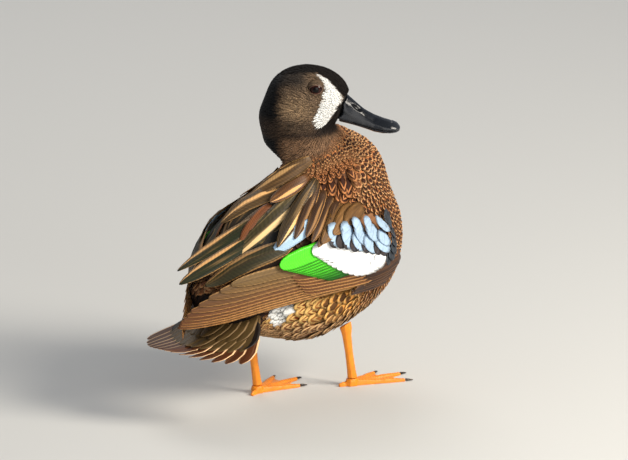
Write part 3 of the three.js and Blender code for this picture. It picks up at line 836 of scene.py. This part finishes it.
def body_size(p):
    """Small on the breast, larger on back and flank."""
    x, y, z = p.T
    size = mix(2.1, 3.2, ramp(x, 34, 0))
    size = mix(size, 4.6, ramp(z, 108, 120) * ramp(x + 0.62 * np.abs(y), 26, 18))
    size = mix(size, 5.2, ramp(z, 84, 74) * ramp(x, 12, -12) * ramp(np.abs(y), 12, 20))
    size = mix(size, 2.5, by_hip(p))
    return mix(size, 1.8, ramp(z - 0.2 * x, 145, 152))


def body_groups(p):
    x, y, z = p.T
    places = [x > 22, z > 108, x < -62, z > 60]
    return sided(np.select(places, ["breast", "mantle", "rump", "flank"], "belly"), y)


coat("coat_body", skin, body_keep, body_size, lambda p: body_size(p) * 2.9, lambda p: body_size(p) * 1.75,
     lambda p: (1.3 + 0.14 * body_size(p)) * (1 - 0.6 * by_hip(p)), CONTOUR, BODY_PLUME, "breast_feathers",
     body_groups, thickness=0.12, camber=0.09)

# ---- places on the outer form
shell = Bed(flesh_points, flesh_quads)
shell.lie = skin.lie


def cast_tree(nodes):
    vertices, faces = joined_nodes(nodes)
    return BVHTree.FromPolygons(to_bird(vertices).tolist(), faces)


BODY_TREE = cast_tree(FLESH + [n for n in NODES if n.startswith("primaries")])
TAIL_TREE = cast_tree(["tail"])
HALF = math.sqrt(0.5)
VIEWS = {  # for the bird's right side: the second measure's axis, and the way in
    "slant": (np.array([0, HALF, HALF]), np.array([0, HALF, -HALF])),
    "side": (np.array([0, 0, 1.0]), np.array([0, 1.0, 0])),
}


def at(view, a, b, lift, hand):
    """A point over the outer form, at a forward and b along the view's axis, lifted towards the viewer."""
    axis, way = VIEWS[view]
    flip = np.array([1, hand, 1])
    axis, way = axis * flip, way * flip
    start = np.array([a, 0, 0]) + axis * b - way * 200
    hit = BODY_TREE.ray_cast(Vector(start), Vector(way))[0]
    if hit is None:
        hit = shell.tree.find_nearest(Vector(start + way * 200))[0]
    return np.array(hit) - way * lift


BLADE_BOW = 0.4  # how far a long feather bows out between root and tip
NEAR_LEFT = 0.6  # the left side's long feathers lie this much of the right side's height over the body
RIGHT, LEFT = (1, "right"), (-1, "left")


def blade_lines(pairs, lifts, outward, stations, hug):
    """Spines from root to tip, straight but for the body in their way or hugging it all along, smoothed."""
    t = stations
    roots, tips = (np.array([pair[k] for pair in pairs]) for k in (0, 1))
    line = roots[:, None] * (1 - t)[:, None] + tips[:, None] * t[:, None]
    n, k = line.shape[:2]
    place, normal, _ = shell.nearest(line.reshape(-1, 3))
    place, normal = place.reshape(n, k, 3), normal.reshape(n, k, 3)
    over = ((line - place) * normal).sum(2)
    lifts = np.asarray(lifts)
    least = lifts[:, :1] * (1 - t) + lifts[:, 1:] * t
    line = line + normal * (least - over if hug else np.maximum(least - over, 0))[..., None]
    normal = unit(normal * 0.65 + np.asarray(outward)[:, None] * 0.35)
    line, normal = fitted(line, t, 4), unit(fitted(normal, t, 2))
    if not hug:
        line = line + normal * (BLADE_BOW * np.sin(t * math.pi))[:, None]
    return framed(line, normal)


def framed(line, normal):
    """Spines with their normals and sides turned square to them."""
    way = unit(np.gradient(line, axis=1))
    side = unit(np.cross(way, normal))
    return line, unit(np.cross(side, way)), side


def fitted(values, t, degree):
    """Each row of values replaced by its best polynomial along t."""
    basis = np.stack([t**d for d in range(degree + 1)], -1)
    return np.einsum("ij,njc->nic", basis @ np.linalg.pinv(basis), values)


STYLES = {  # colour, second colour, then how strong the edge is, how strong the stripe is and where it runs
    "stripe": ((62, 54, 26), (248, 208, 146), (0.2, 1.0, 0.3)),
    "stripe_outer": ((58, 44, 22), (246, 196, 126), (0.35, 1.0, 0.25)),
    "streaked": ((62, 38, 18), (232, 172, 104), (1.0, 0.35, 0.3)),
    "warm": ((92, 68, 34), (240, 184, 116), (0.3, 1.0, 0.62)),
    "warm_low": ((96, 60, 30), (240, 180, 110), (0.3, 0.9, 0.3)),
    "tan": ((100, 72, 38), (222, 174, 112), (0.6, 0.7, 0.7)),
    "black": ((20, 22, 16), (60, 62, 44), (0.3, 0.0, 0.5)),
    "dark": ((40, 34, 20), (176, 134, 82), (0.5, 0.5, 0.78)),
    "high_stripe": ((38, 44, 17), (236, 178, 112), (0.5, 0.9, 0.84)),
    "olive": ((52, 48, 24), (206, 154, 94), (0.7, 0.55, 0.9)),
    "buffy": ((150, 112, 66), (226, 180, 124), (0.6, 0.2, 0.6)),
    "chestnut": ((126, 72, 36), (170, 108, 60), (0.5, 0.0, 0.5)),
    "panel": ((120, 84, 42), (214, 160, 96), (0.7, 0.0, 0.5)),
    "blue": ((170, 196, 220), (196, 216, 232), (0.5, 0.0, 0.5)),
    "long_blue": ((164, 194, 220), (206, 228, 240), (0.3, 0.6, 0.6)),
    "primary": ((102, 58, 22), (218, 160, 96), (1.0, 0.0, 0.5)),
    "tip_olive": ((110, 84, 44), (192, 150, 98), (0.7, 0.0, 0.5)),
    "covert": ((50, 30, 19), (190, 132, 84), (0.45, 0.0, 0.5)),
    "tail": ((92, 46, 18), (240, 196, 146), (1.0, 0.0, 0.5)),
    "tail_covert": ((92, 72, 38), (150, 116, 70), (0.5, 0.0, 0.5)),
    "under_tail": ((14, 12, 11), (40, 32, 26), (0.5, 0.0, 0.5)),
    "green": ((92, 240, 44), (60, 190, 30), (0.2, 0.0, 0.5)),
    # Painted shade of the speculum's gloss: the darker end of its green.
    "shaded_green": ((20, 92, 18), (10, 50, 10), (0.3, 0.0, 0.5)),
    "white": ((253, 253, 251), (253, 253, 251), (0.0, 0.0, 0.5)),
    "band": ((46, 32, 26), (96, 72, 58), (0.4, 0.0, 0.5)),
    "wrist": ((14, 11, 10), (170, 182, 194), (0.7, 0.0, 0.5)),
}
LONG_PLUME = blade_material("long_plume", srgb(20, 14, 8), 0.5)
FLIGHT_PLUME = blade_material("flight_plume", srgb(58, 36, 20), 0.55, barbs=0.15, streaky=0.35, rim_from=0.74)
GREEN_PLUME = blade_material("green_plume", srgb(14, 90, 14), 0.34, barbs=0.3, strength=0.15, streaky=0.45,
                             shaft=0.15)
PALE_PLUME = blade_material("pale_plume", srgb(190, 200, 208), 0.6, barbs=0.06, streaky=0.15, shaft=0.1)
WING_COVERT_PLUME = blade_material("wing_covert_plume", srgb(110, 130, 150), 0.6, barbs=0.1, streaky=0.3,
                                   shaft=0.25)


def styled(style):
    """A style by name, or two names and how far it is from one to the other."""
    if isinstance(style, str):
        base, accent, marks = STYLES[style]
        return [srgb(*base), srgb(*accent), np.array(marks)]
    first, second, share = style
    return [a * (1 - share) + b * share for a, b in zip(styled(first), styled(second))]


def wing_reach(stations, height):
    """Polynomial for how far out the folded wing's side is at each forward place."""
    out = [abs(at("side", x, z, 0, 1)[1]) for x, z in zip(stations, height)]
    return np.polyfit(stations, out, 4)


WING_X = np.linspace(-131, 30, 40)
WING_FORM = wing_reach(WING_X, np.interp(WING_X, [-131, -60, 30], [69, 80, 88]))


def wing_lines(rows, hand, stations, arch, near):
    """Spines that keep to the wing's smooth side, each at its own height over it."""
    t = stations
    roots, tips = (np.array([row[k] for row in rows], float) for k in (1, 2))
    place = roots[:, None] * (1 - t)[:, None] + tips[:, None] * t[:, None]
    x, z = place[..., 0], place[..., 1] + arch * np.sin(t * math.pi)
    lifts = near * np.array([row[3] for row in rows])
    tuck = 12 * ramp(x, -65, -125) * (hand == -1)
    z = z - tuck * 0.6
    out = np.polyval(WING_FORM, x) + lifts[:, :1] * (1 - t) + lifts[:, 1:] * t - tuck
    line = np.stack([x, -hand * out, z], -1)
    slope = np.polyval(np.polyder(WING_FORM), x)
    normal = unit(np.stack([-slope, np.full_like(x, -hand), np.full_like(x, 0.12)], -1))
    return framed(line, normal)


def body_lines(rows, hand, stations, hug, near):
    """Spines over the body from root to tip, each given in one of the views or as a full place."""
    flip = np.array([1, hand, 1])
    pairs = [
        [
            np.array(end, float) * flip if len(end) == 3 else at(view, *end, max(high, 0) * near, hand)
            for end, high in zip((root, tip), lift)
        ]
        for view, root, tip, lift, _, _ in rows
    ]
    outward = [-VIEWS[row[0]][1] * flip for row in rows]
    return blade_lines(pairs, [np.array(row[3]) * near for row in rows], outward, stations, hug)


def blades(name, rows, profile, material, slot, nodes=(), *, camber, columns=7, thickness=0.3, hug=False,
           tilt=0.0, arch=0.0, hands=(RIGHT, LEFT)):
    """Long feathers, from rows of view, root, tip, lifts, half width and style for the right side."""
    stations = profile[:, 0]
    for hand, label in hands:
        near = 1.0 if hand == 1 else NEAR_LEFT
        if rows[0][0] == "wing":
            line, normal, side = wing_lines(rows, hand, stations, arch, near)
        else:
            line, normal, side = body_lines(rows, hand, stations, hug, near)
        colours = []
        for row in rows:
            base, accent, marks = styled(row[5])
            tone = 1 + 0.16 * (RNG.random() - 0.5) * (base.mean() < 0.6)
            place = marks[2] if hand == 1 else 1 - marks[2]
            colours.append((base * tone, accent * tone, [marks[0], marks[1], place]))
        side = unit(side - normal * tilt * hand)
        normal = unit(np.cross(side, np.gradient(line, axis=1)))
        wide = np.array([row[4] for row in rows])[:, None, None] * profile[None, :, 1:2]
        wide = wide * (1 + 0.04 * (RNG.random((len(rows), len(stations), 2)) - 0.5))
        colours = [np.array(part) for part in zip(*colours)]
        feather_piece(
            f"{name}_{label}", line, normal, side, wide, stations, colours, material, slot,
            [f"{n}_{label}" for n in nodes], columns=columns, thickness=thickness, camber=camber
        )


def along(points, t):
    """The point a share t of the way along a line of measured corners."""
    points = np.array(points, float)
    step = np.linspace(0, 1, len(points))
    return tuple(np.interp(t, step, points[:, k]) for k in range(points.shape[1]))


def shares(count):
    """Even shares of the way from 0 to 1."""
    return [i / (count - 1) for i in range(count)]


# ---- wings, from below upwards on the side
blades(
    "primary_feathers",
    [
        ("wing", along([(9, 80.5), (-20, 97)], t),
         along([(-131.5, 64.5), (-131, 67.5), (-129, 71.5), (-125.5, 77), (-116, 85), (-104, 92)], t),
         (0.6 + 3.4 * t, 1.0 + 3.2 * t), 4.6, ("primary", "tip_olive", max(0, 2 * t - 1)))
        for t in shares(10)
    ],
    REMIGE, FLIGHT_PLUME, "flight_feathers", ["primaries"], camber=0.01, tilt=0.05, thickness=0.2,
    arch=np.linspace(5, 2.2, 10)[:, None]
)
blades(
    "secondaries",
    [
        ("wing", (2 - 14 * t, 82 + 10 * t), (-52 - 10 * t, 80 + 11.5 * t),
         (2.6 + 2.0 * t, 3.2 + 1.6 * t), 4.2, "primary")
        for t in shares(6)
    ],
    REMIGE, FLIGHT_PLUME, "flight_feathers", camber=0.01, tilt=0.05, thickness=0.2, arch=1.0
)
# The speculum's feathers are green; their run from dark green in front to bright green behind is painted
# shade and sheen of the gloss.
blades(
    "speculum",
    [
        ("wing", (-9 - 23 * t, 95 + 14 * t), (-41 - 31 * t, 90 + 10.5 * t),
         (4.0 + 0.8 * t, 5.4 + 0.8 * t), 6.2, ("shaded_green", "green", min(1, 0.1 + 1.5 * t)))
        for t in shares(10)
    ],
    REMIGE, GREEN_PLUME, "green_feathers", camber=0.02, tilt=0.04, thickness=0.2
)
WHITE_TIPS = [(-1, 91), (-8, 87.5), (-17, 87), (-27, 91), (-36.5, 97), (-43.5, 102.5), (-49, 106.5)]
WHITE_ROOTS = [(9, 96), (5, 97), (1, 99), (-4, 102), (-11, 105), (-19, 108), (-27, 111)]
blades(
    "greater_coverts",
    [("wing", along(WHITE_ROOTS, t), along(WHITE_TIPS, t), (5.2, 6.8), 5.4, "white") for t in shares(15)],
    COVERT, PALE_PLUME, "white_feathers", columns=5, camber=0.03, thickness=0.25
)
blades(
    "primary_coverts",
    [
        ("side", along([(27, 80), (31, 92)], t), along([(-16, 73), (-6, 84)], t),
         (1.2 + 1.6 * t, 3.0 + 1.8 * t), 3.8, "covert")
        for t in shares(6)
    ],
    COVERT, FLIGHT_PLUME, "flight_feathers", columns=5, camber=0.05, tilt=0.1
)
BLUE_ROWS = [  # tips at the two ends of a row, how many, how wide
    ((-37, 110.5), (6, 96), 9, 4.6, "band"),
    ((-36, 112.5), (4, 98.5), 5, 8.0, "blue"),
    ((-25, 113.5), (8, 104), 4, 7.4, "blue"),
    ((-14, 115), (10, 109.5), 3, 6.4, "blue"),
    ((-4, 116), (10, 113), 2, 5.0, "blue"),
]
covert_rows = []
for row, (first, last, count, wide, style) in enumerate(BLUE_ROWS):
    for t in shares(count):
        tip = np.array(along([first, last], t)) + 2.4 * (RNG.random(2) - 0.5) * (row > 0)
        root = tip + np.array([15 - 9 * t, 3.2 + 5.8 * t]) * (1.1 - 0.15 * row) + 2.4 * (RNG.random(2) - 0.5)
        wide_now = wide * (1 + 0.25 * (RNG.random() - 0.5))
        covert_rows.append(("side", root, tip, (2.4 + 0.4 * row, 5.6 + 0.2 * row), wide_now, style))
for t in shares(7):
    tip = along([(12, 88), (17, 95), (21, 104), (21, 112)], t)
    covert_rows.append(("side", (tip[0] + 7, tip[1] + 7), tip, (0.6, 4.4), 3.6, "wrist"))
blades("wing_coverts", covert_rows, COVERT, WING_COVERT_PLUME, "wing_coverts", columns=5, camber=0.04)

# ---- scapulars and tertials
blades("long_covert", [("slant", (-40, 62), (-74, 54), (3.4, 4.6), 5.4, "long_blue")], BLADE, PALE_PLUME,
       "wing_coverts", camber=0.06)
TERTIALS = ["tertial_1", "tertial_2", "tertial_3"]
SHARED_TERTIALS = [
    ("slant", (-62, 54), (-110, -7, 88), (4.2, 5.0), 6.8, "olive"),
    ("slant", (-73, 66), (-102, 63), (2.0, 3.4), 3.6, "buffy"),
]
blades(
    "tertials",
    [
        ("slant", (-71, 70), (-126, 0, 91.5), (1.4, 4.0), 5.8, "high_stripe"),
        ("slant", (-68, 80), (-118, 10, 97), (1.6, 5.0), 5.4, "high_stripe"),
    ] + SHARED_TERTIALS,
    BLADE, LONG_PLUME, "black_feathers", TERTIALS, camber=0.06, hands=(RIGHT,)
)
blades(
    "tertials",
    [
        ("slant", (-62, 70), (-107, -12, 87), (0.4, 1.6), 5.8, "high_stripe"),
        ("slant", (-60, 78), (-104, -13, 92), (0.8, 2.4), 5.4, "high_stripe"),
    ] + SHARED_TERTIALS,
    BLADE, LONG_PLUME, "black_feathers", TERTIALS, camber=0.06, hands=(LEFT,)
)
SCAPULARS = ["scapular_1", "scapular_2", "scapular_3"]
scapular_rows = [
    ("slant", (-44, 103), (-76, 90), (-2, 0.6), 6.4, "dark"),
    ("slant", (-24, 100), (-58, 100), (-2.4, 1.4), 5.6, "tan"),
    ("slant", (-46, 96), (-80, 84), (-2, 1.2), 6.8, "dark"),
    ("slant", (-30, 93), (-81, 8, 122.5), (-2.2, 3.2), 6.6, "warm"),
    ("slant", (-24, 93), (-58, 86), (-1.6, 4.6), 5.0, "warm_low"),
    ("slant", (-50, 84), (-86, 74), (-2, 1.8), 6.4, "dark"),
    ("slant", (-55, 86), (-82, 72), (0, 3.4), 4.2, "chestnut"),
    ("slant", (-25, 84), (-85, 56), (-2.8, 2.6), 7.0, "black"),
    ("slant", (-24, 89), (-96, 59), (-1.8, 5.8), 7.0, "stripe"),
    ("slant", (-19, 90), (-72, 55), (-1.2, 7.2), 5.2, "stripe_outer"),
    ("slant", (-6, 70), (-44, 46), (-2.4, 7.4), 5.2, "panel"),
    ("slant", (1, 68), (-33, 49), (-2.0, 6.6), 5.8, "panel"),
    ("slant", (8, 66), (-19, 54), (-2.4, 4.8), 5.6, "panel"),
    ("slant", (-18, 87), (-60, 55), (-2.2, 6.2), 3.8, "streaked"),
    ("slant", (-15, 82), (-53, 53), (-1.6, 6.8), 3.6, "streaked"),
    ("slant", (-12, 77), (-50, 49), (-2.2, 6.2), 3.6, "streaked"),
    ("slant", (-9, 73), (-47, 45), (-1.6, 6.8), 3.6, "streaked"),
]
blades("scapulars", scapular_rows, BLADE, LONG_PLUME, "back_feathers", SCAPULARS, camber=0.08, hands=(RIGHT,))
covering_rows = [
    ("side", (-30, 107), (-88, 96), (4.6, 5.2), 7.2, "black"),
    ("side", (-24, 115), (-82, 104), (4.8, 5.6), 7.0, "dark"),
]
blades("scapulars", scapular_rows[4:] + covering_rows, BLADE, LONG_PLUME, "back_feathers", SCAPULARS,
       camber=0.08, hug=True, hands=(LEFT,))

# ---- tail
POINTED = np.array([
    (0, 0.5), (0.1, 0.72), (0.3, 0.9), (0.6, 1), (0.8, 0.86), (0.9, 0.62), (0.96, 0.38), (0.99, 0.18)
])


def tail_terms(x, y):
    return np.stack([np.ones_like(x), x, x**2, y**2, x * y**2], -1)


def tail_form():
    """Polynomial for the height of the tail's upper face."""
    places = [(x, y) for x in np.arange(-132.0, -78, 3) for y in np.arange(-48.0, 49, 4)]
    hits = [(x, y, TAIL_TREE.ray_cast(Vector((x, y, 200)), Vector((0, 0, -1)))[0]) for x, y in places]
    x, y, z = np.array([(x, y, hit.z) for x, y, hit in hits if hit]).T
    return np.linalg.lstsq(tail_terms(x, y), z, rcond=None)[0]


TAIL_FORM = tail_form()


def tail_fan(name, count, reach, wide, style, rise, spread, under=False):
    """Feathers that fan from the rump; reach is the shares of the way from root line to tail's edge."""
    t = (2 * np.array(shares(count)) - 1) * spread
    root = np.stack([-80 - 9 * (1 - t**2), 24 * t], -1)
    edge = np.stack([-137 + 27 * t**2, 45 * t], -1)
    stations = POINTED[:, 0]
    share = (reach[0] * (1 - stations) + reach[1] * stations)[None, :, None]
    flat = root[:, None] * (1 - share) + edge[:, None] * share
    flat[..., 1] += 3.0 * t[:, None] * np.sin(stations * math.pi)
    height = tail_terms(flat[..., 0], flat[..., 1]) @ TAIL_FORM
    flip = -1 if under else 1
    lift = rise * (1.3 - np.abs(t))[:, None] - (2.2 if under else 0)
    line = np.concatenate([flat, (height + flip * lift)[..., None]], -1)
    way = unit(np.gradient(line, axis=1))
    side = unit(np.cross(way, np.broadcast_to(UP * flip, way.shape)))
    lean = 0.12 * np.sign(t)[:, None, None] * flip
    side = unit(side + UP * lean)
    normal = unit(np.cross(side, way))
    half = np.full((count, 1), wide) * POINTED[:, 1]
    base, accent, marks = styled(style)
    tone = 1 + 0.24 * (RNG.random((count, 1)) - 0.5)
    colours = [base * tone, accent * tone, np.tile(marks, (count, 1))]
    feather_piece(name, line, normal, side, half, stations, colours, FLIGHT_PLUME, "flight_feathers",
                  ["tail"] if name == "tail_feathers" else [], columns=7, thickness=0.3, camber=0.04)


tail_fan("tail_feathers", 14, (0.0, 1.0), 5.2, "tail", 1.6, spread=0.95)
tail_fan("tail_coverts_upper", 12, (-0.25, 0.6), 6.0, "tail_covert", 2.8, spread=0.86)
tail_fan("tail_coverts_inner", 9, (-0.35, 0.35), 6.0, "tail_covert", 4.4, spread=0.75)
tail_fan("tail_coverts_under", 11, (-0.1, 0.55), 6.0, "under_tail", 1.6, spread=0.9, under=True)


# ---- bill
def fine(node, voxel, smoothing):
    """A CAD node remeshed finely enough to carve."""
    points, quads = remeshed(node + "_fine", [node], voxel, smoothing)
    return points, quads, vertex_normals(points, quads)


def bill_piece(node):
    """Half of the bill; the upper one has nostrils, a nail, and a base that grows into the face."""
    points, quads, normal = fine(node, 0.45, 6)
    forward, left, up = head_frame(points).T
    side = np.abs(left)
    base = mix(srgb(11, 14, 20), srgb(46, 50, 56), ramp(forward, 56, 60) * 0.35 + ramp(up, -12, -16) * 0.15)
    if node == "bill_upper":
        reach, rise = forward - 35.7, up + 5.4
        a, b = reach * 0.86 - rise * 0.5, reach * 0.5 + rise * 0.86
        flank = ramp(side, 1.5, 3.2)
        pit = np.exp(-((a / 2.3) ** 2) - (b / 1.0) ** 2) * flank
        rim = np.exp(-((np.hypot(a / 2.9, b / 1.5) - 1) ** 2) / 0.06) * flank
        nail = ramp(forward, 56.5, 58) * ramp(side, 3.6, 3.0)
        ridge = -1.1 * pit + 0.22 * rim + 0.3 * nail
        ridge = ridge - 0.25 * np.exp(-(((forward - 57) / 0.6) ** 2)) * ramp(side, 4, 3)
        ridge = ridge + 0.5 * ramp(forward, 33, 28)
        grown = ramp(forward, 38, 31) * ramp(up, -9, -3)
        points = points + grown[:, None] * (2.8 * UP - 2.6 * HEAD_FORWARD + 0.1 * left[:, None] * HEAD_SIDE)
        points = points + normal * ridge[:, None]
        # Painted shade: the nostril pits darkened to near black.
        base = mix(base, srgb(6, 6, 7), np.clip(pit * 1.6, 0, 1))
    obj = new_object(node + "_look", points, quads, BILL_PAINT)
    add_colour(obj.data, "base", base)
    finish_piece(obj, [node])


def bill_material():
    paint = Paint("bill", Roughness=0.3, Specular_IOR_Level=0.3, Coat_Weight=0.12, Coat_Roughness=0.1)
    grain = paint.noise(220, 3.0)
    paint.colour((grain.ramp(0.42, 0.75) * 0.35).blend(paint.attribute("base"), srgb(34, 39, 48)))
    paint.roughness(grain.ramp(0.3, 0.8) * 0.14 + 0.2)
    paint.bump(paint.noise(900, 2.0), 0.12, 0.0002)
    return paint.material


BILL_PAINT = bill_material()
bill_piece("bill_upper")
bill_piece("bill_lower")


# ---- eyes
LID_RINGS, LID_AROUND = 15, 72


def sphere(radius, rows, columns):
    """Points and quads of a sphere whose poles, on the first axis, are tiny open rings."""
    a = np.linspace(1e-3, math.pi - 1e-3, rows)
    b = np.arange(columns) * 2 * math.pi / columns
    p = np.stack(
        [np.cos(a)[:, None] + 0 * b, np.sin(a)[:, None] * np.cos(b), np.sin(a)[:, None] * np.sin(b)], -1
    ).reshape(-1, 3)
    return p * radius, ring_quads(rows, columns)[:, [0, 3, 2, 1]]


def eye_pieces(hand, label):
    """Eyeball with iris and pupil, and lids that leave an almond open; hand is 1 on the right."""
    outward = -hand * HEAD_SIDE
    centre = HEAD_CENTRE + EYE_PLACE[0] * HEAD_FORWARD + EYE_PLACE[2] * UP + outward * EYE_PLACE[1]
    axes = np.stack([outward, HEAD_FORWARD, UP])
    local, quads = sphere(EYE_RADIUS - 0.1, 40, 48)
    if hand == -1:
        quads = quads[:, ::-1]
    obj = new_object(f"eyeball_{label}", centre + local @ axes, quads, EYE_PAINT)
    tilt = np.degrees(np.arccos(np.clip(local[:, 0] / (EYE_RADIUS - 0.1), -1, 1)))
    iris = mix(srgb(46, 17, 10), srgb(14, 6, 4), ramp(tilt, 34, 46))
    add_colour(obj.data, "base", mix(srgb(1, 1, 1), iris, ramp(tilt, 24, 28)))
    finish_piece(obj, [f"eye_{label}"])
    lid, quads, k = lid_surface(centre, outward)
    bed = Bed(lid, quads[:, ::-1] if hand == 1 else quads)
    bed.lie = skin.nearest(lid)[2]
    total, ring = len(lid), np.arange(LID_AROUND)
    nxt, last = (ring + 1) % LID_AROUND, total - LID_AROUND
    inner = np.stack([ring + total, nxt + total, nxt, ring], -1)
    outer = np.stack([last + ring, last + nxt, last + nxt + total, last + ring + total], -1)
    closed = np.concatenate([quads, quads[:, ::-1] + total, inner, outer])
    if hand == 1:
        closed = closed[:, ::-1]
    obj = new_object(f"eyelids_{label}", np.concatenate([lid, lid - outward * 0.8]), closed, LID_PAINT)
    rim = mix(srgb(150, 108, 88), srgb(60, 46, 38), ramp(k, 0.03, 0.12))
    colour = mix(rim, plumage(lid)[0] * 0.6, ramp(k, 0.12, 0.25))
    add_colour(obj.data, "base", np.tile(colour, (2, 1)))
    finish_piece(obj, [])

    def grows(p):
        forward, _, up = head_frame(p).T
        return ramp(np.hypot((forward - EYE_PLACE[0]) / 4.5, (up - EYE_PLACE[2]) / 3.2), 1.0, 1.05)

    def always(value):
        return lambda p: np.full(len(p), value)

    coat(f"coat_lids_{label}", bed, grows, always(0.78), always(2.3), always(0.95), always(0.4), SMALL,
         HEAD_PLUME, "head_feathers", always("tufts"), vary=0.7, thickness=0.08, camber=0.12)


def lid_surface(centre, outward):
    """From the almond opening over the eyeball down to the skin, as rings of points."""
    phi = np.arange(LID_AROUND) * 2 * math.pi / LID_AROUND
    k = np.linspace(0, 1, LID_RINGS)[:, None]
    wide = (4.1 + 1.9 * k) * np.cos(phi)
    high = (2.75 + 2.65 * k) * np.sin(phi) + 0.2 * np.cos(phi) * (1 - k)
    over = np.sqrt(np.maximum((EYE_RADIUS + 0.2) ** 2 - wide**2 - high**2, 0))
    flat = centre + (wide[..., None] * HEAD_FORWARD + high[..., None] * UP).reshape(-1, 3)
    hits = [skin.tree.ray_cast(Vector(p + outward * 20), Vector(-outward))[0] for p in flat]
    ground = np.array([(np.array(hit) - centre) @ outward for hit in hits]).reshape(len(k), -1) + 0.1
    deep = np.log(np.exp(over * 2.5) + np.exp(ground * 2.5)) / 2.5
    t = ramp(k, 0.85, 1.0)
    deep = deep * (1 - t) + (ground - 0.05) * t
    points = flat + deep.reshape(-1, 1) * outward
    return points, ring_quads(LID_RINGS, LID_AROUND), np.repeat(k[:, 0], LID_AROUND)


def eye_materials():
    eye = Paint("eye", Roughness=0.05, Specular_IOR_Level=0.2)
    eye.colour((eye.noise(1800, 3.0).ramp(0.4, 0.7) * 0.3).blend(eye.attribute("base"), srgb(30, 10, 8)))
    lid = Paint("eyelid", Roughness=0.6)
    lid.colour((lid.noise(1500, 2.0) * 0.5).blend(lid.attribute("base"), srgb(60, 44, 36)))
    lid.bump(lid.noise(1500, 2.0), 0.5, 0.0002)
    return eye.material, lid.material


EYE_PAINT, LID_PAINT = eye_materials()
eye_pieces(1, "right")
eye_pieces(-1, "left")


# ---- legs
def leg_material():
    paint = Paint("leg", Roughness=0.42, Subsurface_Weight=0.08)
    paint.shader.inputs["Subsurface Radius"].default_value = (0.004, 0.0015, 0.0006)
    grain, spots = paint.noise(300, 3.0), paint.noise(90, 2.0)
    colour = (grain.ramp(0.45, 0.75) * 0.35).blend(paint.attribute("base"), srgb(214, 112, 20))
    colour = (spots.ramp(0.5, 0.8) * 0.3).blend(colour, srgb(196, 98, 26))
    paint.colour(colour)
    cells = paint.tree.nodes.new("ShaderNodeTexVoronoi")
    cells.feature = "DISTANCE_TO_EDGE"
    cells.inputs["Scale"].default_value = 900
    paint.tree.links.new(paint.place(), cells.inputs["Vector"])
    paint.bump(Value(paint.tree, cells.outputs["Distance"]), 0.6, 0.0004)
    return paint.material


def leg_piece(node, voxel):
    points, quads, normal = fine(node, voxel, 3)
    if node.startswith("tarsus"):
        front, run = np.maximum(normal[:, 0], 0), points[:, 2]
    else:
        front, run = np.maximum(normal[:, 2], 0), points[:, 0] + 0.3 * np.abs(points[:, 1])
    plate = np.abs(np.sin(run * math.pi / 2.1)) ** 0.5
    points = points + normal * (0.22 * (plate - 0.7) * front)[:, None]
    obj = new_object(node + "_look", points, quads, LEG_PAINT)
    groove = (1 - plate) * front
    add_colour(obj.data, "base", mix(srgb(244, 146, 28), srgb(168, 84, 20), groove))
    finish_piece(obj, [node])


def claw_pieces():
    paint = Paint("claw", Roughness=0.35)
    paint.colour(paint.noise(500, 3.0).ramp(0.35, 0.7).blend(srgb(26, 20, 18), srgb(72, 56, 44)))
    paint.bump(paint.noise(1200, 2.0), 0.2, 0.0002)
    for node in NODES:
        if node.startswith("claw"):
            points, quads, _ = fine(node, 0.25, 2)
            finish_piece(new_object(node + "_look", points, quads, paint.material), [node])


LEG_PAINT = leg_material()
for hand_label in ("right", "left"):
    leg_piece(f"tarsus_{hand_label}", 0.45)
    leg_piece(f"foot_{hand_label}", 0.4)
claw_pieces()

# ---- stage, light and camera
PHOTO_AZIMUTH = -45.0
PHOTO_ELEVATION = 15.0
PHOTO_DISTANCE = 12000.0
PHOTO_AIM = np.array([-1.8, 1.8, 104.0])
PHOTO_WIDTH = 405.2  # millimetres across the picture at the bird
SENSOR_WIDTH = 36


def set_stage():
    paint = Paint("stage_floor", Roughness=0.9)
    paint.colour((0.62, 0.62, 0.6))
    size = 3000.0
    corners = np.array([[-1, -1, 0], [1, -1, 0], [1, 1, 0], [-1, 1, 0]]) * size
    corners[:, 2] = -SHIFT[2]
    new_object("stage_floor", corners, np.array([[0, 1, 2, 3]]), paint.material)


def looking_at_bird(name, data, azimuth, elevation, distance):
    """A light or camera that looks at the bird from these angles round it, in degrees."""
    obj = bpy.data.objects.new(name, data)
    a, e = math.radians(azimuth), math.radians(elevation)
    away = Vector((math.sin(a) * math.cos(e), -math.cos(a) * math.cos(e), math.sin(e)))
    obj.location = Vector(to_row(PHOTO_AIM)) + away * distance * MM
    obj.rotation_euler = (-away).to_track_quat("-Z", "Y").to_euler()
    bpy.context.scene.collection.objects.link(obj)
    return obj


def add_light(name, azimuth, elevation, distance, size, power, colour):
    data = bpy.data.lights.new(name, "AREA")
    data.size, data.energy, data.color = size * MM, power, colour
    looking_at_bird(name, data, azimuth, elevation, distance)


def set_world():
    world = bpy.data.worlds.new("studio")
    world.use_nodes = True
    sky = world.node_tree.nodes["Background"]
    sky.inputs["Color"].default_value = (0.85, 0.9, 1.0, 1)
    sky.inputs["Strength"].default_value = 0.32
    bpy.context.scene.world = world


def set_camera():
    data = bpy.data.cameras.new("camera")
    data.sensor_width = SENSOR_WIDTH
    data.lens = SENSOR_WIDTH * PHOTO_DISTANCE / PHOTO_WIDTH
    data.clip_start, data.clip_end = 0.1, 50
    camera = looking_at_bird("camera", data, PHOTO_AZIMUTH, PHOTO_ELEVATION, PHOTO_DISTANCE)
    bpy.context.scene.camera = camera


set_stage()
add_light("key", 20, 34, 1600, 700, 33, (1.0, 0.93, 0.82))
add_light("fill", -28, 10, 1800, 1300, 13, (1.0, 0.97, 0.93))
add_light("back", 150, 48, 1800, 900, 9, (1.0, 0.96, 0.9))
set_world()
bpy.context.scene.view_settings.view_transform = "Standard"
set_camera()
